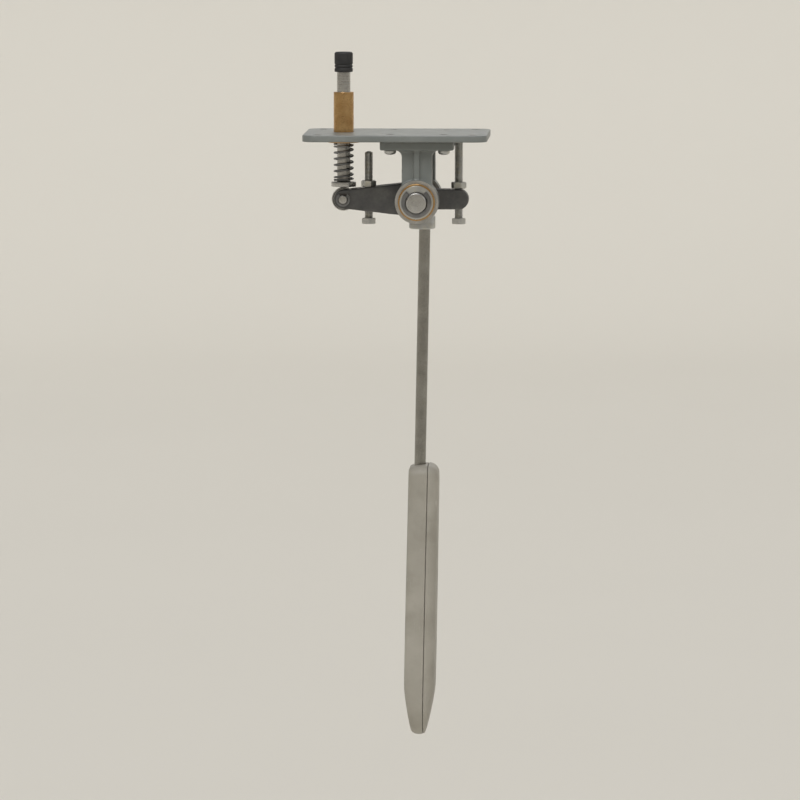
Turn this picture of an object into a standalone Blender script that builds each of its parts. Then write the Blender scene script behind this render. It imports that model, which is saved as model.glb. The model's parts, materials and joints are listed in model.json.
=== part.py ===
"""Knee pedal of a sewing machine: a knee lever hung under the table, which lifts the presser foot.

Row frame: origin on the plate face that meets the table's underside, straight above the pivot. +X is the
way the knee pushes, +Y is away from the operator, and +Z is up. The lever turns about an axis along Y. All
lengths are metres.
"""

import math

import bmesh
import bpy
from mathutils import Vector

GAP = 0.0003  # air left between two pieces that touch or run in each other

# Driving dimensions
PIVOT_Z = -0.040  # pivot axis below the table's underside
ARM_REACH = 0.045  # pivot axis to lift rod
LEVER_LEAN = math.radians(1.1)  # how far the lever hangs away from plumb, towards +X
ROD_R = 0.0035
ROD_DROP_Y = -0.105  # where the lever's upright leg stands
ROD_BEND_R = 0.020
PAD_TOP = -0.170  # from the pivot axis
PAD_LENGTH = 0.1685
PAD_HALF_BREADTH = 0.021
PAD_BACK_X = 0.0070  # outer faces of the pad, from the rod's axis
PAD_KNEE_X = -0.0122
PAD_PARTING_X = -0.0052  # where the pad's two shells meet

# Mounting plate
PLATE_T = 0.004
PLATE_X = (-0.042, 0.068)
PLATE_HALF_Y = 0.042
PLATE_CORNER_R = 0.008
TABLE_SCREW_INSET = 0.009
TABLE_SCREW_HOLE_R = 0.0026

# Bearing hangers, one on each side of the lift arm
HANGER_Y = 0.026
HANGER_FOOT = (0.022, 0.008, 0.005)  # half length, half width, thickness
HANGER_WAIST = (0.009, 0.005)  # half width, half thickness
HANGER_FILLET_R = 0.003
HANGER_BOSS = (0.013, 0.008)  # radius, half length
HANGER_SCREW_X = 0.016
HANGER_SCREW_HEAD = (0.0035, 0.0026)  # radius, height
HANGER_SCREW_LENGTH = 0.009
M4_R = 0.002
BUSH_R = 0.008
BUSH_FLANGE = (0.011, 0.002)  # radius, thickness

# Rocker shaft
SHAFT_R = 0.006
SHAFT_END_Y = 0.043
CLIP_GROOVE_R = 0.0048
HEAD_R = 0.010
HEAD_MOUTH_Y = -0.069
SOCKET_DEPTH = 0.028
THUMB_SCREW_Y = -0.054
THRUST_WASHER_T = 0.0012
REAR_WASHER_T = 0.001
CLIP_T = 0.001
CLIP_OUTER_R = 0.009
PIN_SLOT = (0.0018, 0.006)  # half width, depth

# Thumb screw, by distance from the pivot axis
THUMB_SHANK_END = 0.0115
THUMB_COLLAR = (0.005, 0.0130)  # radius, where it ends
THUMB_KNOB = (0.008, 0.0215)  # radius, where it ends

# Lift arm, seen along the pivot axis from the hub
HUB = (0.0115, 0.009)  # radius, half length
ARM_HALF_WIDTH = 0.0085
ARM_TIP_R = 0.0055
FORK_HALF_GAP = 0.0045
FORK_START_X = 0.0365
TAIL_HALF = (0.006, 0.0065)  # half height, half width
M5_R = 0.0025
STOP_HEAD_H = 0.0035
STOP_HEAD_SEAT = -0.0115  # under the pivot axis
STOP_NUT_H = 0.004
NUT_FLATS = 0.008
REST_STOP_X = -0.024
LIFT_STOP_X = 0.030
LIFT_SEAT = 0.0068  # height of the lift stop nut's spot-faced seat
LIFT_ANGLE = math.radians(16)

# Roller and lift rod
ROLLER_R = 0.007
ROLLER_HALF_WIDTH = 0.004
ROLLER_PIN_R = 0.0025
ROLLER_PIN_HEAD = (0.004, 0.002)  # radius, height
ROLLER_PIN_END = 0.0115
ROLLER_CLIP = (0.0042, 0.0008)  # outer radius, thickness
PIN_GROOVE_R = 0.0018
LIFT_ROD_R = 0.004
LIFT_ROD_FOOT = (0.0075, 0.003)
LIFT_ROD_TOP = 0.044
CAP_R = 0.0055
CAP_SKIRT = 0.008
CAP_TOP = 0.048
SLEEVE_R = 0.006
SLEEVE_TOP = 0.024
SLEEVE_FLANGE = (0.0095, 0.002)

# Return spring, a compression coil round the lift rod between its foot and the sleeve's flange
WIRE_R = 0.0006
SPRING_R = 0.0055
SPRING_TURNS = 7.0
CLOSED_TURNS = 1.0  # at each end, with its wire touching the next turn

# Pad mouldings
PAD_WALL = 0.0024
PAD_TOP_HALF_BREADTH = 0.0155
PAD_TOP_CORNER_R = 0.006
PAD_END_LENGTH = 0.024  # the round lower end
PAD_TAPER_LENGTH = 0.030  # where the thickness falls off towards the tip
PAD_TAPER_BLEND = 0.12  # how gently the taper sets in, as a share of its length
PAD_BACK_TIP_DROP = 0.0052  # what each face loses of its depth by the tip
PAD_KNEE_TIP_DROP = 0.0050
PAD_TIP_SLANT = 0.004  # how much higher the round end is on its knee side than on its back
PAD_INSIDE_MIN = 0.0008  # least depth of a shell's hollow
PAD_BACK_ROUND = 0.0035
PAD_KNEE_ROUND = 0.007
PAD_SCREWS = ((-0.010, 0.024), (0.010, 0.024), (0.0, 0.138))  # across, and down from the pad's top
PAD_SCREW_HEAD = (0.0028, 0.0020)
PAD_SCREW_R = 0.00145
PAD_SCREW_LENGTH = 0.012
PAD_SCREW_SINK = 0.0023
PAD_BOSS_R = 0.0043
KEEPER_DOWN = 0.060
KEEPER_HALF = (0.013, 0.006)
KEEPER_T = 0.002
KEEPER_SCREW_Y = 0.0085
KEEPER_SCREW_HEAD = (0.0026, 0.0016)
KEEPER_SCREW_LENGTH = 0.009
KEEPER_BOSS_R = 0.0036
DRIVE_PIN = (0.0015, 0.0085)  # radius, half length
DRIVE_PIN_Y = -0.066
LOCATING_PIN = (0.00125, 0.006)
LOCATING_RIB_DOWN = 0.092
ROD_RIBS = ((0.010, 0.0015, 0.0142), (LOCATING_RIB_DOWN, 0.004, 0.0185))  # down, half height, half length
RIB_CHAMFER = 0.0024
ROD_IN_PAD = 0.100

ROUND = 28  # sides of a turned piece
SMALL_ROUND = 14


def clear_scene():
    for obj in list(bpy.data.objects):
        bpy.data.objects.remove(obj)


def material(name, color, roughness, metallic):
    made = bpy.data.materials.new(name)
    made.use_nodes = True
    shader = made.node_tree.nodes["Principled BSDF"]
    shader.inputs["Base Color"].default_value = (*color, 1.0)
    shader.inputs["Roughness"].default_value = roughness
    shader.inputs["Metallic"].default_value = metallic
    return made


def make_materials():
    return {
        "paint": material("bracket_paint", (0.62, 0.62, 0.60), 0.45, 0.2),
        "casting": material("arm_casting", (0.42, 0.42, 0.42), 0.5, 0.8),
        "steel": material("turned_steel", (0.55, 0.54, 0.52), 0.3, 1.0),
        "plated": material("plated_rod", (0.50, 0.49, 0.46), 0.2, 1.0),
        "zinc": material("zinc_fastener", (0.60, 0.60, 0.58), 0.35, 1.0),
        "bronze": material("bush_bronze", (0.50, 0.34, 0.16), 0.4, 1.0),
        "spring": material("spring_wire", (0.35, 0.35, 0.36), 0.3, 1.0),
        "nylon": material("washer_nylon", (0.80, 0.79, 0.74), 0.5, 0.0),
        "rubber": material("cap_rubber", (0.03, 0.03, 0.03), 0.8, 0.0),
        "pad": material("pad_plastic", (0.42, 0.41, 0.36), 0.55, 0.0),
    }


# ---- placing ----


def frame(name, location, parent=None, turn_y=0.0):
    """An empty that pieces are parented to."""
    empty = bpy.data.objects.new(name, None)
    bpy.context.scene.collection.objects.link(empty)
    empty.location = location
    empty.rotation_euler = (0.0, turn_y, 0.0)
    empty.parent = parent
    return empty


ALONG = {
    "+X": (0.0, math.pi / 2, 0.0),
    "-X": (0.0, -math.pi / 2, 0.0),
    "+Y": (-math.pi / 2, 0.0, 0.0),
    "-Y": (math.pi / 2, 0.0, 0.0),
    "+Z": (0.0, 0.0, 0.0),
    "-Z": (math.pi, 0.0, 0.0),
}


def place(obj, parent, location=(0.0, 0.0, 0.0), along="+Z", look=None):
    """Sets obj's parent and place, turns its own Z to point along, and gives it its material."""
    obj.parent = parent
    obj.location = location
    obj.rotation_euler = ALONG[along]
    if look:
        obj.data.materials.append(look)
    return obj


# ---- shapes ----


def mesh_object(name, shape):
    """An object from a bmesh, with its normals facing out and its round faces shaded smooth."""
    bmesh.ops.recalc_face_normals(shape, faces=shape.faces)
    mesh = bpy.data.meshes.new(name)
    shape.to_mesh(mesh)
    shape.free()
    mesh.shade_smooth()
    mesh.set_sharp_from_angle(angle=math.radians(30))
    obj = bpy.data.objects.new(name, mesh)
    bpy.context.scene.collection.objects.link(obj)
    return obj


def turned(name, profile, sides=ROUND):
    """A solid turned about Z from (radius, height) points. The profile runs from axis to axis, or is a
    closed loop off the axis, which makes a ring."""
    shape = bmesh.new()
    solid = profile[0][0] == 0.0
    rings = []
    for radius, height in profile:
        if radius == 0.0:
            rings.append([shape.verts.new((0.0, 0.0, height))] * sides)
            continue
        turns = [2 * math.pi * k / sides for k in range(sides)]
        rings.append([shape.verts.new((radius * math.cos(t), radius * math.sin(t), height)) for t in turns])
    pairs = list(zip(rings, rings[1:]))
    if not solid:
        pairs.append((rings[-1], rings[0]))
    for lower, upper in pairs:
        for k in range(sides):
            after = (k + 1) % sides
            corners = dict.fromkeys((lower[k], lower[after], upper[after], upper[k]))
            shape.faces.new(list(corners))
    return mesh_object(name, shape)


def cylinder(name, radius, low, high, sides=ROUND):
    return turned(name, [(0.0, low), (radius, low), (radius, high), (0.0, high)], sides)


def ring(name, inner, outer, low, high, sides=ROUND):
    return turned(name, [(inner, low), (outer, low), (outer, high), (inner, high)], sides)


def slab(name, outline, low, high):
    """The outline's (x, y) points, extruded from low to high along Z."""
    shape = bmesh.new()
    face = shape.faces.new([shape.verts.new((x, y, low)) for x, y in outline])
    grown = bmesh.ops.extrude_face_region(shape, geom=[face])
    moved = [v for v in grown["geom"] if isinstance(v, bmesh.types.BMVert)]
    bmesh.ops.translate(shape, verts=moved, vec=(0.0, 0.0, high - low))
    return mesh_object(name, shape)


def block(name, low, high):
    """A box between two corners, used as a cutter or joined into a casting."""
    outline = [(low[0], low[1]), (high[0], low[1]), (high[0], high[1]), (low[0], high[1])]
    return slab(name, outline, low[2], high[2])


def arc(centre, radius, start, end, steps):
    """Points on an arc, with its angles in degrees."""
    angles = [math.radians(start + (end - start) * k / steps) for k in range(steps + 1)]
    return [(centre[0] + radius * math.cos(a), centre[1] + radius * math.sin(a)) for a in angles]


def belt(radius_a, reach, radius_b, steps=14):
    """The outline of a belt round two circles, one on the axis and one at reach along X."""
    lean = math.degrees(math.asin((radius_a - radius_b) / reach))
    outer = arc((reach, 0.0), radius_b, lean - 90, 90 - lean, steps)
    inner = arc((0.0, 0.0), radius_a, 90 - lean, 270 + lean, steps)
    return outer + inner


def swept(name, path, radius, sides, end_chamfer=0.0):
    """A round wire or rod along a path of points, with its ends chamfered."""
    points = [Vector(p) for p in path]
    radii = [radius] * len(points)
    if end_chamfer:
        first = (points[1] - points[0]).normalized() * end_chamfer
        last = (points[-2] - points[-1]).normalized() * end_chamfer
        points = [points[0], points[0] + first, *points[1:-1], points[-1] + last, points[-1]]
        radii = [radius - end_chamfer, *[radius] * (len(points) - 2), radius - end_chamfer]
    shape = bmesh.new()
    side = Vector((1.0, 0.0, 0.0))
    if abs((points[1] - points[0]).normalized().dot(side)) > 0.9:
        side = Vector((0.0, 1.0, 0.0))
    rings = []
    for k, point in enumerate(points):
        before = points[max(k - 1, 0)]
        after = points[min(k + 1, len(points) - 1)]
        ahead = (after - before).normalized()
        side = (side - ahead * side.dot(ahead)).normalized()
        other = ahead.cross(side)
        turns = [2 * math.pi * n / sides for n in range(sides)]
        offsets = [side * math.cos(t) + other * math.sin(t) for t in turns]
        rings.append([shape.verts.new(point + offset * radii[k]) for offset in offsets])
    for lower, upper in zip(rings, rings[1:]):
        for n in range(sides):
            after = (n + 1) % sides
            shape.faces.new((lower[n], lower[after], upper[after], upper[n]))
    shape.faces.new(rings[0])
    shape.faces.new(rings[-1])
    return mesh_object(name, shape)


def combine(obj, other, operation):
    """A Boolean with other, which is placed first in obj's own frame and then hidden."""
    other.parent = obj
    other.hide_render = True
    other.display_type = "WIRE"
    step = obj.modifiers.new(other.name, "BOOLEAN")
    step.operation = operation
    step.solver = "EXACT"
    step.object = other
    return obj


def cut(obj, cutter, location=(0.0, 0.0, 0.0), along="+Z"):
    cutter.location = location
    cutter.rotation_euler = ALONG[along]
    return combine(obj, cutter, "DIFFERENCE")


def add(obj, other, location=(0.0, 0.0, 0.0), along="+Z"):
    other.location = location
    other.rotation_euler = ALONG[along]
    return combine(obj, other, "UNION")


def hex_outline(flats):
    return arc((0.0, 0.0), flats / math.sqrt(3), 0, 300, 5)


def pan_screw(name, head, shank_r, length):
    """A pan-head screw with its head's seat at height 0 and its shank going up."""
    head_r, head_h = head
    rise = head_h * 0.45
    tip = shank_r * 0.4
    profile = [(0.0, -head_h), (head_r * 0.6, -head_h), (head_r, -rise), (head_r, 0.0), (shank_r, 0.0)]
    profile += [(shank_r, length - tip), (shank_r - tip, length), (0.0, length)]
    return turned(name, profile, SMALL_ROUND)


def stop_screw(name, length):
    """A hexagon-head screw with its head's seat at height 0 and its shank going up to a blunt nose."""
    screw = slab(name, hex_outline(NUT_FLATS), -STOP_HEAD_H, 0.0)
    low = -STOP_HEAD_H / 2
    nose = 0.0008
    profile = [(0.0, low), (M5_R, low), (M5_R, length - nose), (nose, length), (0.0, length)]
    return add(screw, turned(name + "_shank", profile, SMALL_ROUND))


def retaining_clip(name, groove_r, outer_r, thickness):
    """A flat C-shaped clip that grips a shaft's groove on three lugs."""
    relief = groove_r + 0.35 * (outer_r - groove_r)
    outline = arc((0.0, 0.0), outer_r, -50, 230, 24)
    for start, end, radius in (
        (230, 212, groove_r),
        (205, 110, relief),
        (104, 76, groove_r),
        (70, -25, relief),
        (-32, -50, groove_r),
    ):
        outline += arc((0.0, 0.0), radius, start, end, 4)
    return slab(name, outline, 0.0, thickness)


# ---- bracket: everything that stays fixed to the table ----


def mounting_plate(base, look):
    """The flat plate under the table, with holes for the table screws, hanger screws and guide sleeve."""
    low_x, high_x = PLATE_X
    inset = PLATE_CORNER_R
    outline = []
    for x, y, start in (
        (high_x - inset, PLATE_HALF_Y - inset, 0),
        (low_x + inset, PLATE_HALF_Y - inset, 90),
        (low_x + inset, inset - PLATE_HALF_Y, 180),
        (high_x - inset, inset - PLATE_HALF_Y, 270),
    ):
        outline += arc((x, y), inset, start, start + 90, 6)
    plate = slab("mounting_plate", outline, -PLATE_T, 0.0)
    through = (-2 * PLATE_T, PLATE_T)
    for n, (x, y) in enumerate(table_screw_places()):
        hole = cylinder(f"table_screw_cutter_{n}", TABLE_SCREW_HOLE_R, *through, SMALL_ROUND)
        cut(plate, hole, (x, y, 0.0))
    for n, (x, y) in enumerate(hanger_screw_places()):
        cut(plate, cylinder(f"plate_thread_cutter_{n}", M4_R + GAP, *through, SMALL_ROUND), (x, y, 0.0))
    cut(plate, cylinder("sleeve_cutter", SLEEVE_R + GAP, *through), (ARM_REACH, 0.0, 0.0))
    return place(plate, base, look=look)


def table_screw_places():
    ends = (PLATE_X[0] + TABLE_SCREW_INSET, PLATE_X[1] - TABLE_SCREW_INSET)
    edge_y = PLATE_HALF_Y - TABLE_SCREW_INSET
    return [(x, y) for x in ends for y in (-edge_y, edge_y)]


def hanger_screw_places():
    return [(x, y) for y in (-HANGER_Y, HANGER_Y) for x in (-HANGER_SCREW_X, HANGER_SCREW_X)]


def hanger(name, y, base, look):
    """A cast hanger: a foot screwed to the plate, a waist, and a boss round the bush. Its own Z is the
    pivot axis, and its own Y is up."""
    foot_x, foot_y, foot_t = HANGER_FOOT
    waist_x, waist_y = HANGER_WAIST
    boss_r, boss_half = HANGER_BOSS
    top = -PIVOT_Z - PLATE_T - GAP
    under = top - foot_t
    turn = waist_x + HANGER_FILLET_R
    right = [(waist_x, 0.0)] + arc((turn, under - HANGER_FILLET_R), HANGER_FILLET_R, 180, 90, 5)
    right += [(foot_x, under), (foot_x, top)]
    outline = right + [(-x, z) for x, z in reversed(right)]
    piece = slab(name, outline, -waist_y, waist_y)
    add(piece, block(name + "_foot", (-foot_x, under, -foot_y), (foot_x, top, foot_y)))
    add(piece, cylinder(name + "_boss", boss_r, -boss_half, boss_half))
    cut(piece, cylinder(name + "_bore", BUSH_R + GAP, -2 * boss_half, 2 * boss_half))
    for side in (-1, 1):
        drill = cylinder(f"{name}_drill_{side}", M4_R + GAP, -2 * foot_t, 2 * foot_t, SMALL_ROUND)
        cut(piece, drill, (side * HANGER_SCREW_X, under, 0.0), "-Y")
    obj = place(piece, base, (0.0, y, PIVOT_Z), look=look)
    obj.rotation_euler = (math.pi / 2, 0.0, 0.0)
    return obj


def bush(name, base, side, look):
    """A flanged bush with its flange on the hanger's outer face."""
    flange_r, flange_t = BUSH_FLANGE
    outer = HANGER_BOSS[1]
    inner_r = SHAFT_R + GAP
    profile = [
        (inner_r, -outer),
        (BUSH_R, -outer),
        (BUSH_R, outer + GAP),
        (flange_r, outer + GAP),
        (flange_r, outer + GAP + flange_t),
        (inner_r, outer + GAP + flange_t),
    ]
    along = "+Y" if side > 0 else "-Y"
    return place(turned(name, profile), base, (0.0, side * HANGER_Y, PIVOT_Z), along, look)


def guide_sleeve(base, look):
    """Guides the lift rod up through the plate and the table."""
    flange_r, flange_t = SLEEVE_FLANGE
    seat = -PLATE_T - GAP
    inner_r = LIFT_ROD_R + GAP
    profile = [
        (inner_r, seat - flange_t),
        (flange_r, seat - flange_t),
        (flange_r, seat),
        (SLEEVE_R, seat),
        (SLEEVE_R, SLEEVE_TOP),
        (inner_r, SLEEVE_TOP),
    ]
    return place(turned("guide_sleeve", profile), base, (ARM_REACH, 0.0, 0.0), look=look)


def return_spring(base, look):
    """The coil that pushes the lift rod down, with its end turns closed up to sit flat."""
    low = PIVOT_Z + ROLLER_R + GAP + LIFT_ROD_FOOT[1] + GAP + WIRE_R
    high = -PLATE_T - SLEEVE_FLANGE[1] - 2 * GAP - WIRE_R
    closed_rise = CLOSED_TURNS * (2 * WIRE_R + GAP)
    steps_per_turn = 14
    path = []
    for k in range(round(SPRING_TURNS * steps_per_turn) + 1):
        turn = k / steps_per_turn
        from_end = min(turn, SPRING_TURNS - turn)
        rise = closed_rise * from_end / CLOSED_TURNS
        if from_end > CLOSED_TURNS:
            open_share = (turn - CLOSED_TURNS) / (SPRING_TURNS - 2 * CLOSED_TURNS)
            z = low + closed_rise + (high - low - 2 * closed_rise) * open_share
        else:
            z = low + rise if turn < SPRING_TURNS / 2 else high - rise
        angle = 2 * math.pi * turn
        path.append((SPRING_R * math.cos(angle), SPRING_R * math.sin(angle), z))
    return place(swept("return_spring", path, WIRE_R, 6), base, (ARM_REACH, 0.0, 0.0), look=look)


def make_bracket(base, looks):
    mounting_plate(base, looks["paint"])
    hanger("front_hanger", -HANGER_Y, base, looks["paint"])
    hanger("rear_hanger", HANGER_Y, base, looks["paint"])
    seat = -PLATE_T - 2 * GAP - HANGER_FOOT[2]
    for n, (x, y) in enumerate(hanger_screw_places(), 1):
        screw = pan_screw(f"hanger_screw_{n}", HANGER_SCREW_HEAD, M4_R, HANGER_SCREW_LENGTH)
        place(screw, base, (x, y, seat), look=looks["zinc"])
    bush("front_bush", base, -1, looks["bronze"])
    bush("rear_bush", base, 1, looks["bronze"])
    guide_sleeve(base, looks["bronze"])
    return_spring(base, looks["spring"])


# ---- rocker: what turns in the bushes ----


def flange_face():
    """How far from the middle the bushes' outer faces are."""
    return HANGER_Y + HANGER_BOSS[1] + GAP + BUSH_FLANGE[1]


def rocker_shaft(pivot, look):
    """The shaft and its socket head in one piece. Its own Z is +Y."""
    head_back = -flange_face() - 2 * GAP - THRUST_WASHER_T
    groove = flange_face() + 2 * GAP + REAR_WASHER_T
    chamfer = 0.0008
    socket_r = ROD_R + GAP
    profile = [
        (0.0, HEAD_MOUTH_Y + SOCKET_DEPTH),
        (socket_r, HEAD_MOUTH_Y + SOCKET_DEPTH),
        (socket_r, HEAD_MOUTH_Y),
        (HEAD_R - chamfer, HEAD_MOUTH_Y),
        (HEAD_R, HEAD_MOUTH_Y + chamfer),
        (HEAD_R, head_back - chamfer),
        (HEAD_R - chamfer, head_back),
        (SHAFT_R, head_back),
        (SHAFT_R, groove),
        (CLIP_GROOVE_R, groove),
        (CLIP_GROOVE_R, groove + CLIP_T + 2 * GAP),
        (SHAFT_R, groove + CLIP_T + 2 * GAP),
        (SHAFT_R, SHAFT_END_Y - chamfer),
        (SHAFT_R - chamfer, SHAFT_END_Y),
        (0.0, SHAFT_END_Y),
    ]
    shaft = turned("rocker_shaft", profile)
    slot_half, slot_depth = PIN_SLOT
    low = (-2 * HEAD_R, -slot_half, HEAD_MOUTH_Y - slot_depth)
    cut(shaft, block("pin_slot_cutter", low, (2 * HEAD_R, slot_half, HEAD_MOUTH_Y + slot_depth)))
    drill = cylinder("thumb_screw_cutter", M5_R + GAP, 0.0, 2 * HEAD_R, SMALL_ROUND)
    cut(shaft, drill, (0.0, 0.0, THUMB_SCREW_Y), "+Y")
    return place(shaft, pivot, along="+Y", look=look)


def lift_arm(pivot, look):
    """The casting on the shaft: a forked arm for the roller on one side and a tail for the rest stop on the
    other. Its own Z is -Y, so that its own Y is up."""
    hub_r, hub_half = HUB
    tail_z, tail_half = TAIL_HALF
    arm = cylinder("lift_arm", hub_r, -hub_half, hub_half)
    outline = belt(hub_r - 0.001, ARM_REACH, ARM_TIP_R)
    add(arm, slab("arm_web", outline, -ARM_HALF_WIDTH, ARM_HALF_WIDTH))
    tail = arc((REST_STOP_X, 0.0), tail_z, 90, 270, 12) + [(0.0, -tail_z), (0.0, tail_z)]
    add(arm, slab("arm_tail", tail, -tail_half, tail_half))
    cut(arm, cylinder("shaft_cutter", SHAFT_R + GAP, -2 * hub_half, 2 * hub_half))
    low, high = (FORK_START_X, -hub_r, -FORK_HALF_GAP), (ARM_REACH * 2, hub_r, FORK_HALF_GAP)
    cut(arm, block("fork_cutter", low, high))
    pin_hole = cylinder("roller_pin_cutter", ROLLER_PIN_R + GAP, -2 * hub_half, 2 * hub_half, SMALL_ROUND)
    cut(arm, pin_hole, (ARM_REACH, 0.0, 0.0))
    rest_hole = cylinder("rest_stop_cutter", M5_R + GAP, -2 * hub_r, 2 * hub_r, SMALL_ROUND)
    cut(arm, rest_hole, (REST_STOP_X, 0.0, 0.0), "-Y")
    hole_r, seat_r = M5_R + GAP, NUT_FLATS * 0.68
    profile = [(0.0, -2 * hub_r), (hole_r, -2 * hub_r), (hole_r, LIFT_SEAT), (seat_r, LIFT_SEAT)]
    stepped = turned("lift_stop_cutter", profile + [(seat_r, hub_r), (0.0, hub_r)], SMALL_ROUND)
    cut(arm, stepped, (LIFT_STOP_X, 0.0, 0.0), "+Y")
    set_hole = cylinder("set_screw_cutter", M5_R + GAP, 0.0, 2 * hub_r, SMALL_ROUND)
    cut(arm, set_hole, (0.0, 0.0, 0.0), "-Y")
    obj = place(arm, pivot, look=look)
    obj.rotation_euler = (math.pi / 2, 0.0, 0.0)
    return obj


def stops(pivot, looks):
    """The two adjusting screws, whose tips meet the plate at rest and at full lift, and their lock nuts."""
    plate_under = -PIVOT_Z - PLATE_T - GAP
    lift_tip = (plate_under - LIFT_STOP_X * math.sin(LIFT_ANGLE)) / math.cos(LIFT_ANGLE)
    for name, x, tip, seat in (
        ("rest_stop", REST_STOP_X, plate_under, TAIL_HALF[0]),
        ("lift_stop", LIFT_STOP_X, lift_tip, LIFT_SEAT),
    ):
        screw = stop_screw(name + "_screw", tip - STOP_HEAD_SEAT)
        place(screw, pivot, (x, 0.0, STOP_HEAD_SEAT), look=looks["zinc"])
        nut = slab(name + "_nut", hex_outline(NUT_FLATS), 0.0, STOP_NUT_H)
        cut(nut, cylinder(name + "_nut_hole", M5_R + GAP, -STOP_NUT_H, 2 * STOP_NUT_H, SMALL_ROUND))
        place(nut, pivot, (x, 0.0, seat + GAP), look=looks["zinc"])


def roller_pin(pivot, looks):
    """The headed pin through the fork, and the clip at its far end."""
    head_r, head_h = ROLLER_PIN_HEAD
    front = -ARM_HALF_WIDTH - GAP
    groove = ARM_HALF_WIDTH + GAP
    clip_r, clip_t = ROLLER_CLIP
    profile = [
        (0.0, front - head_h),
        (head_r, front - head_h),
        (head_r, front),
        (ROLLER_PIN_R, front),
        (ROLLER_PIN_R, groove),
        (PIN_GROOVE_R, groove),
        (PIN_GROOVE_R, groove + clip_t + 2 * GAP),
        (ROLLER_PIN_R, groove + clip_t + 2 * GAP),
        (ROLLER_PIN_R, ROLLER_PIN_END),
        (0.0, ROLLER_PIN_END),
    ]
    pin = turned("roller_pin", profile, SMALL_ROUND)
    place(pin, pivot, (ARM_REACH, 0.0, 0.0), "+Y", looks["steel"])
    clip = retaining_clip("roller_clip", PIN_GROOVE_R + GAP, clip_r, clip_t)
    place(clip, pivot, (ARM_REACH, groove + GAP, 0.0), "+Y", looks["spring"])


def make_rocker(pivot, looks):
    rocker_shaft(pivot, looks["steel"])
    lift_arm(pivot, looks["casting"])
    thrust = ring("thrust_washer", SHAFT_R + GAP, HEAD_R, 0.0, THRUST_WASHER_T)
    place(thrust, pivot, (0.0, -flange_face() - GAP, 0.0), "-Y", looks["nylon"])
    washer = ring("rear_washer", SHAFT_R + GAP, HEAD_R, 0.0, REAR_WASHER_T)
    place(washer, pivot, (0.0, flange_face() + GAP, 0.0), "+Y", looks["zinc"])
    clip = retaining_clip("shaft_clip", CLIP_GROOVE_R + GAP, CLIP_OUTER_R, CLIP_T)
    clip_y = flange_face() + REAR_WASHER_T + 3 * GAP
    place(clip, pivot, (0.0, clip_y, 0.0), "+Y", looks["spring"])
    set_screw = cylinder("arm_set_screw", M5_R, SHAFT_R + GAP, HUB[0] - 0.001, SMALL_ROUND)
    place(set_screw, pivot, along="-Z", look=looks["zinc"])
    stops(pivot, looks)
    roller_pin(pivot, looks)


def make_roller(pivot, looks):
    edge = 0.0005
    inner = ROLLER_PIN_R + GAP
    half = ROLLER_HALF_WIDTH
    profile = [(inner, -half), (ROLLER_R - edge, -half), (ROLLER_R, edge - half), (ROLLER_R, half - edge)]
    profile += [(ROLLER_R - edge, half), (inner, half)]
    place(turned("lift_roller", profile), pivot, (ARM_REACH, 0.0, 0.0), "+Y", looks["steel"])


def make_lift_rod(looks):
    """The rod that the roller pushes up, and the soft cap that meets the machine."""
    foot_low = PIVOT_Z + ROLLER_R + GAP
    guide = frame("lift_rod_frame", (ARM_REACH, 0.0, foot_low))
    foot_r, foot_h = LIFT_ROD_FOOT
    top = LIFT_ROD_TOP - foot_low
    edge = 0.0006
    profile = [
        (0.0, 0.0),
        (foot_r - edge, 0.0),
        (foot_r, edge),
        (foot_r, foot_h - edge),
        (foot_r - edge, foot_h),
        (LIFT_ROD_R, foot_h),
        (LIFT_ROD_R, top - edge),
        (LIFT_ROD_R - edge, top),
        (0.0, top),
    ]
    place(turned("lift_rod", profile), guide, look=looks["steel"])
    cap_top = CAP_TOP - foot_low
    inner = LIFT_ROD_R + GAP
    round_off = 0.0015
    profile = [
        (0.0, top + GAP),
        (inner, top + GAP),
        (inner, top - CAP_SKIRT),
        (CAP_R, top - CAP_SKIRT),
        (CAP_R, cap_top - round_off),
        (CAP_R - 0.3 * round_off, cap_top - 0.3 * round_off),
        (CAP_R - round_off, cap_top),
        (0.0, cap_top),
    ]
    place(turned("lift_rod_cap", profile), guide, look=looks["rubber"])


def make_thumb_screw(pivot, looks):
    """The knurled screw that clamps the lever in the socket. Its own Z points down."""
    tip = ROD_R + GAP
    collar_r, collar_end = THUMB_COLLAR
    knob_r, knob_end = THUMB_KNOB
    point, edge = 0.0005, 0.0008
    profile = [
        (0.0, tip),
        (M5_R - point, tip),
        (M5_R, tip + point),
        (M5_R, THUMB_SHANK_END),
        (collar_r, THUMB_SHANK_END),
        (collar_r, collar_end),
        (knob_r - edge, collar_end),
        (knob_r, collar_end + edge),
        (knob_r, knob_end - edge),
        (knob_r - edge, knob_end),
        (0.0, knob_end),
    ]
    place(turned("thumb_screw", profile), pivot, (0.0, THUMB_SCREW_Y, 0.0), "-Z", looks["zinc"])


# ---- lever: the rod that plugs into the socket, and its pad ----


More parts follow.
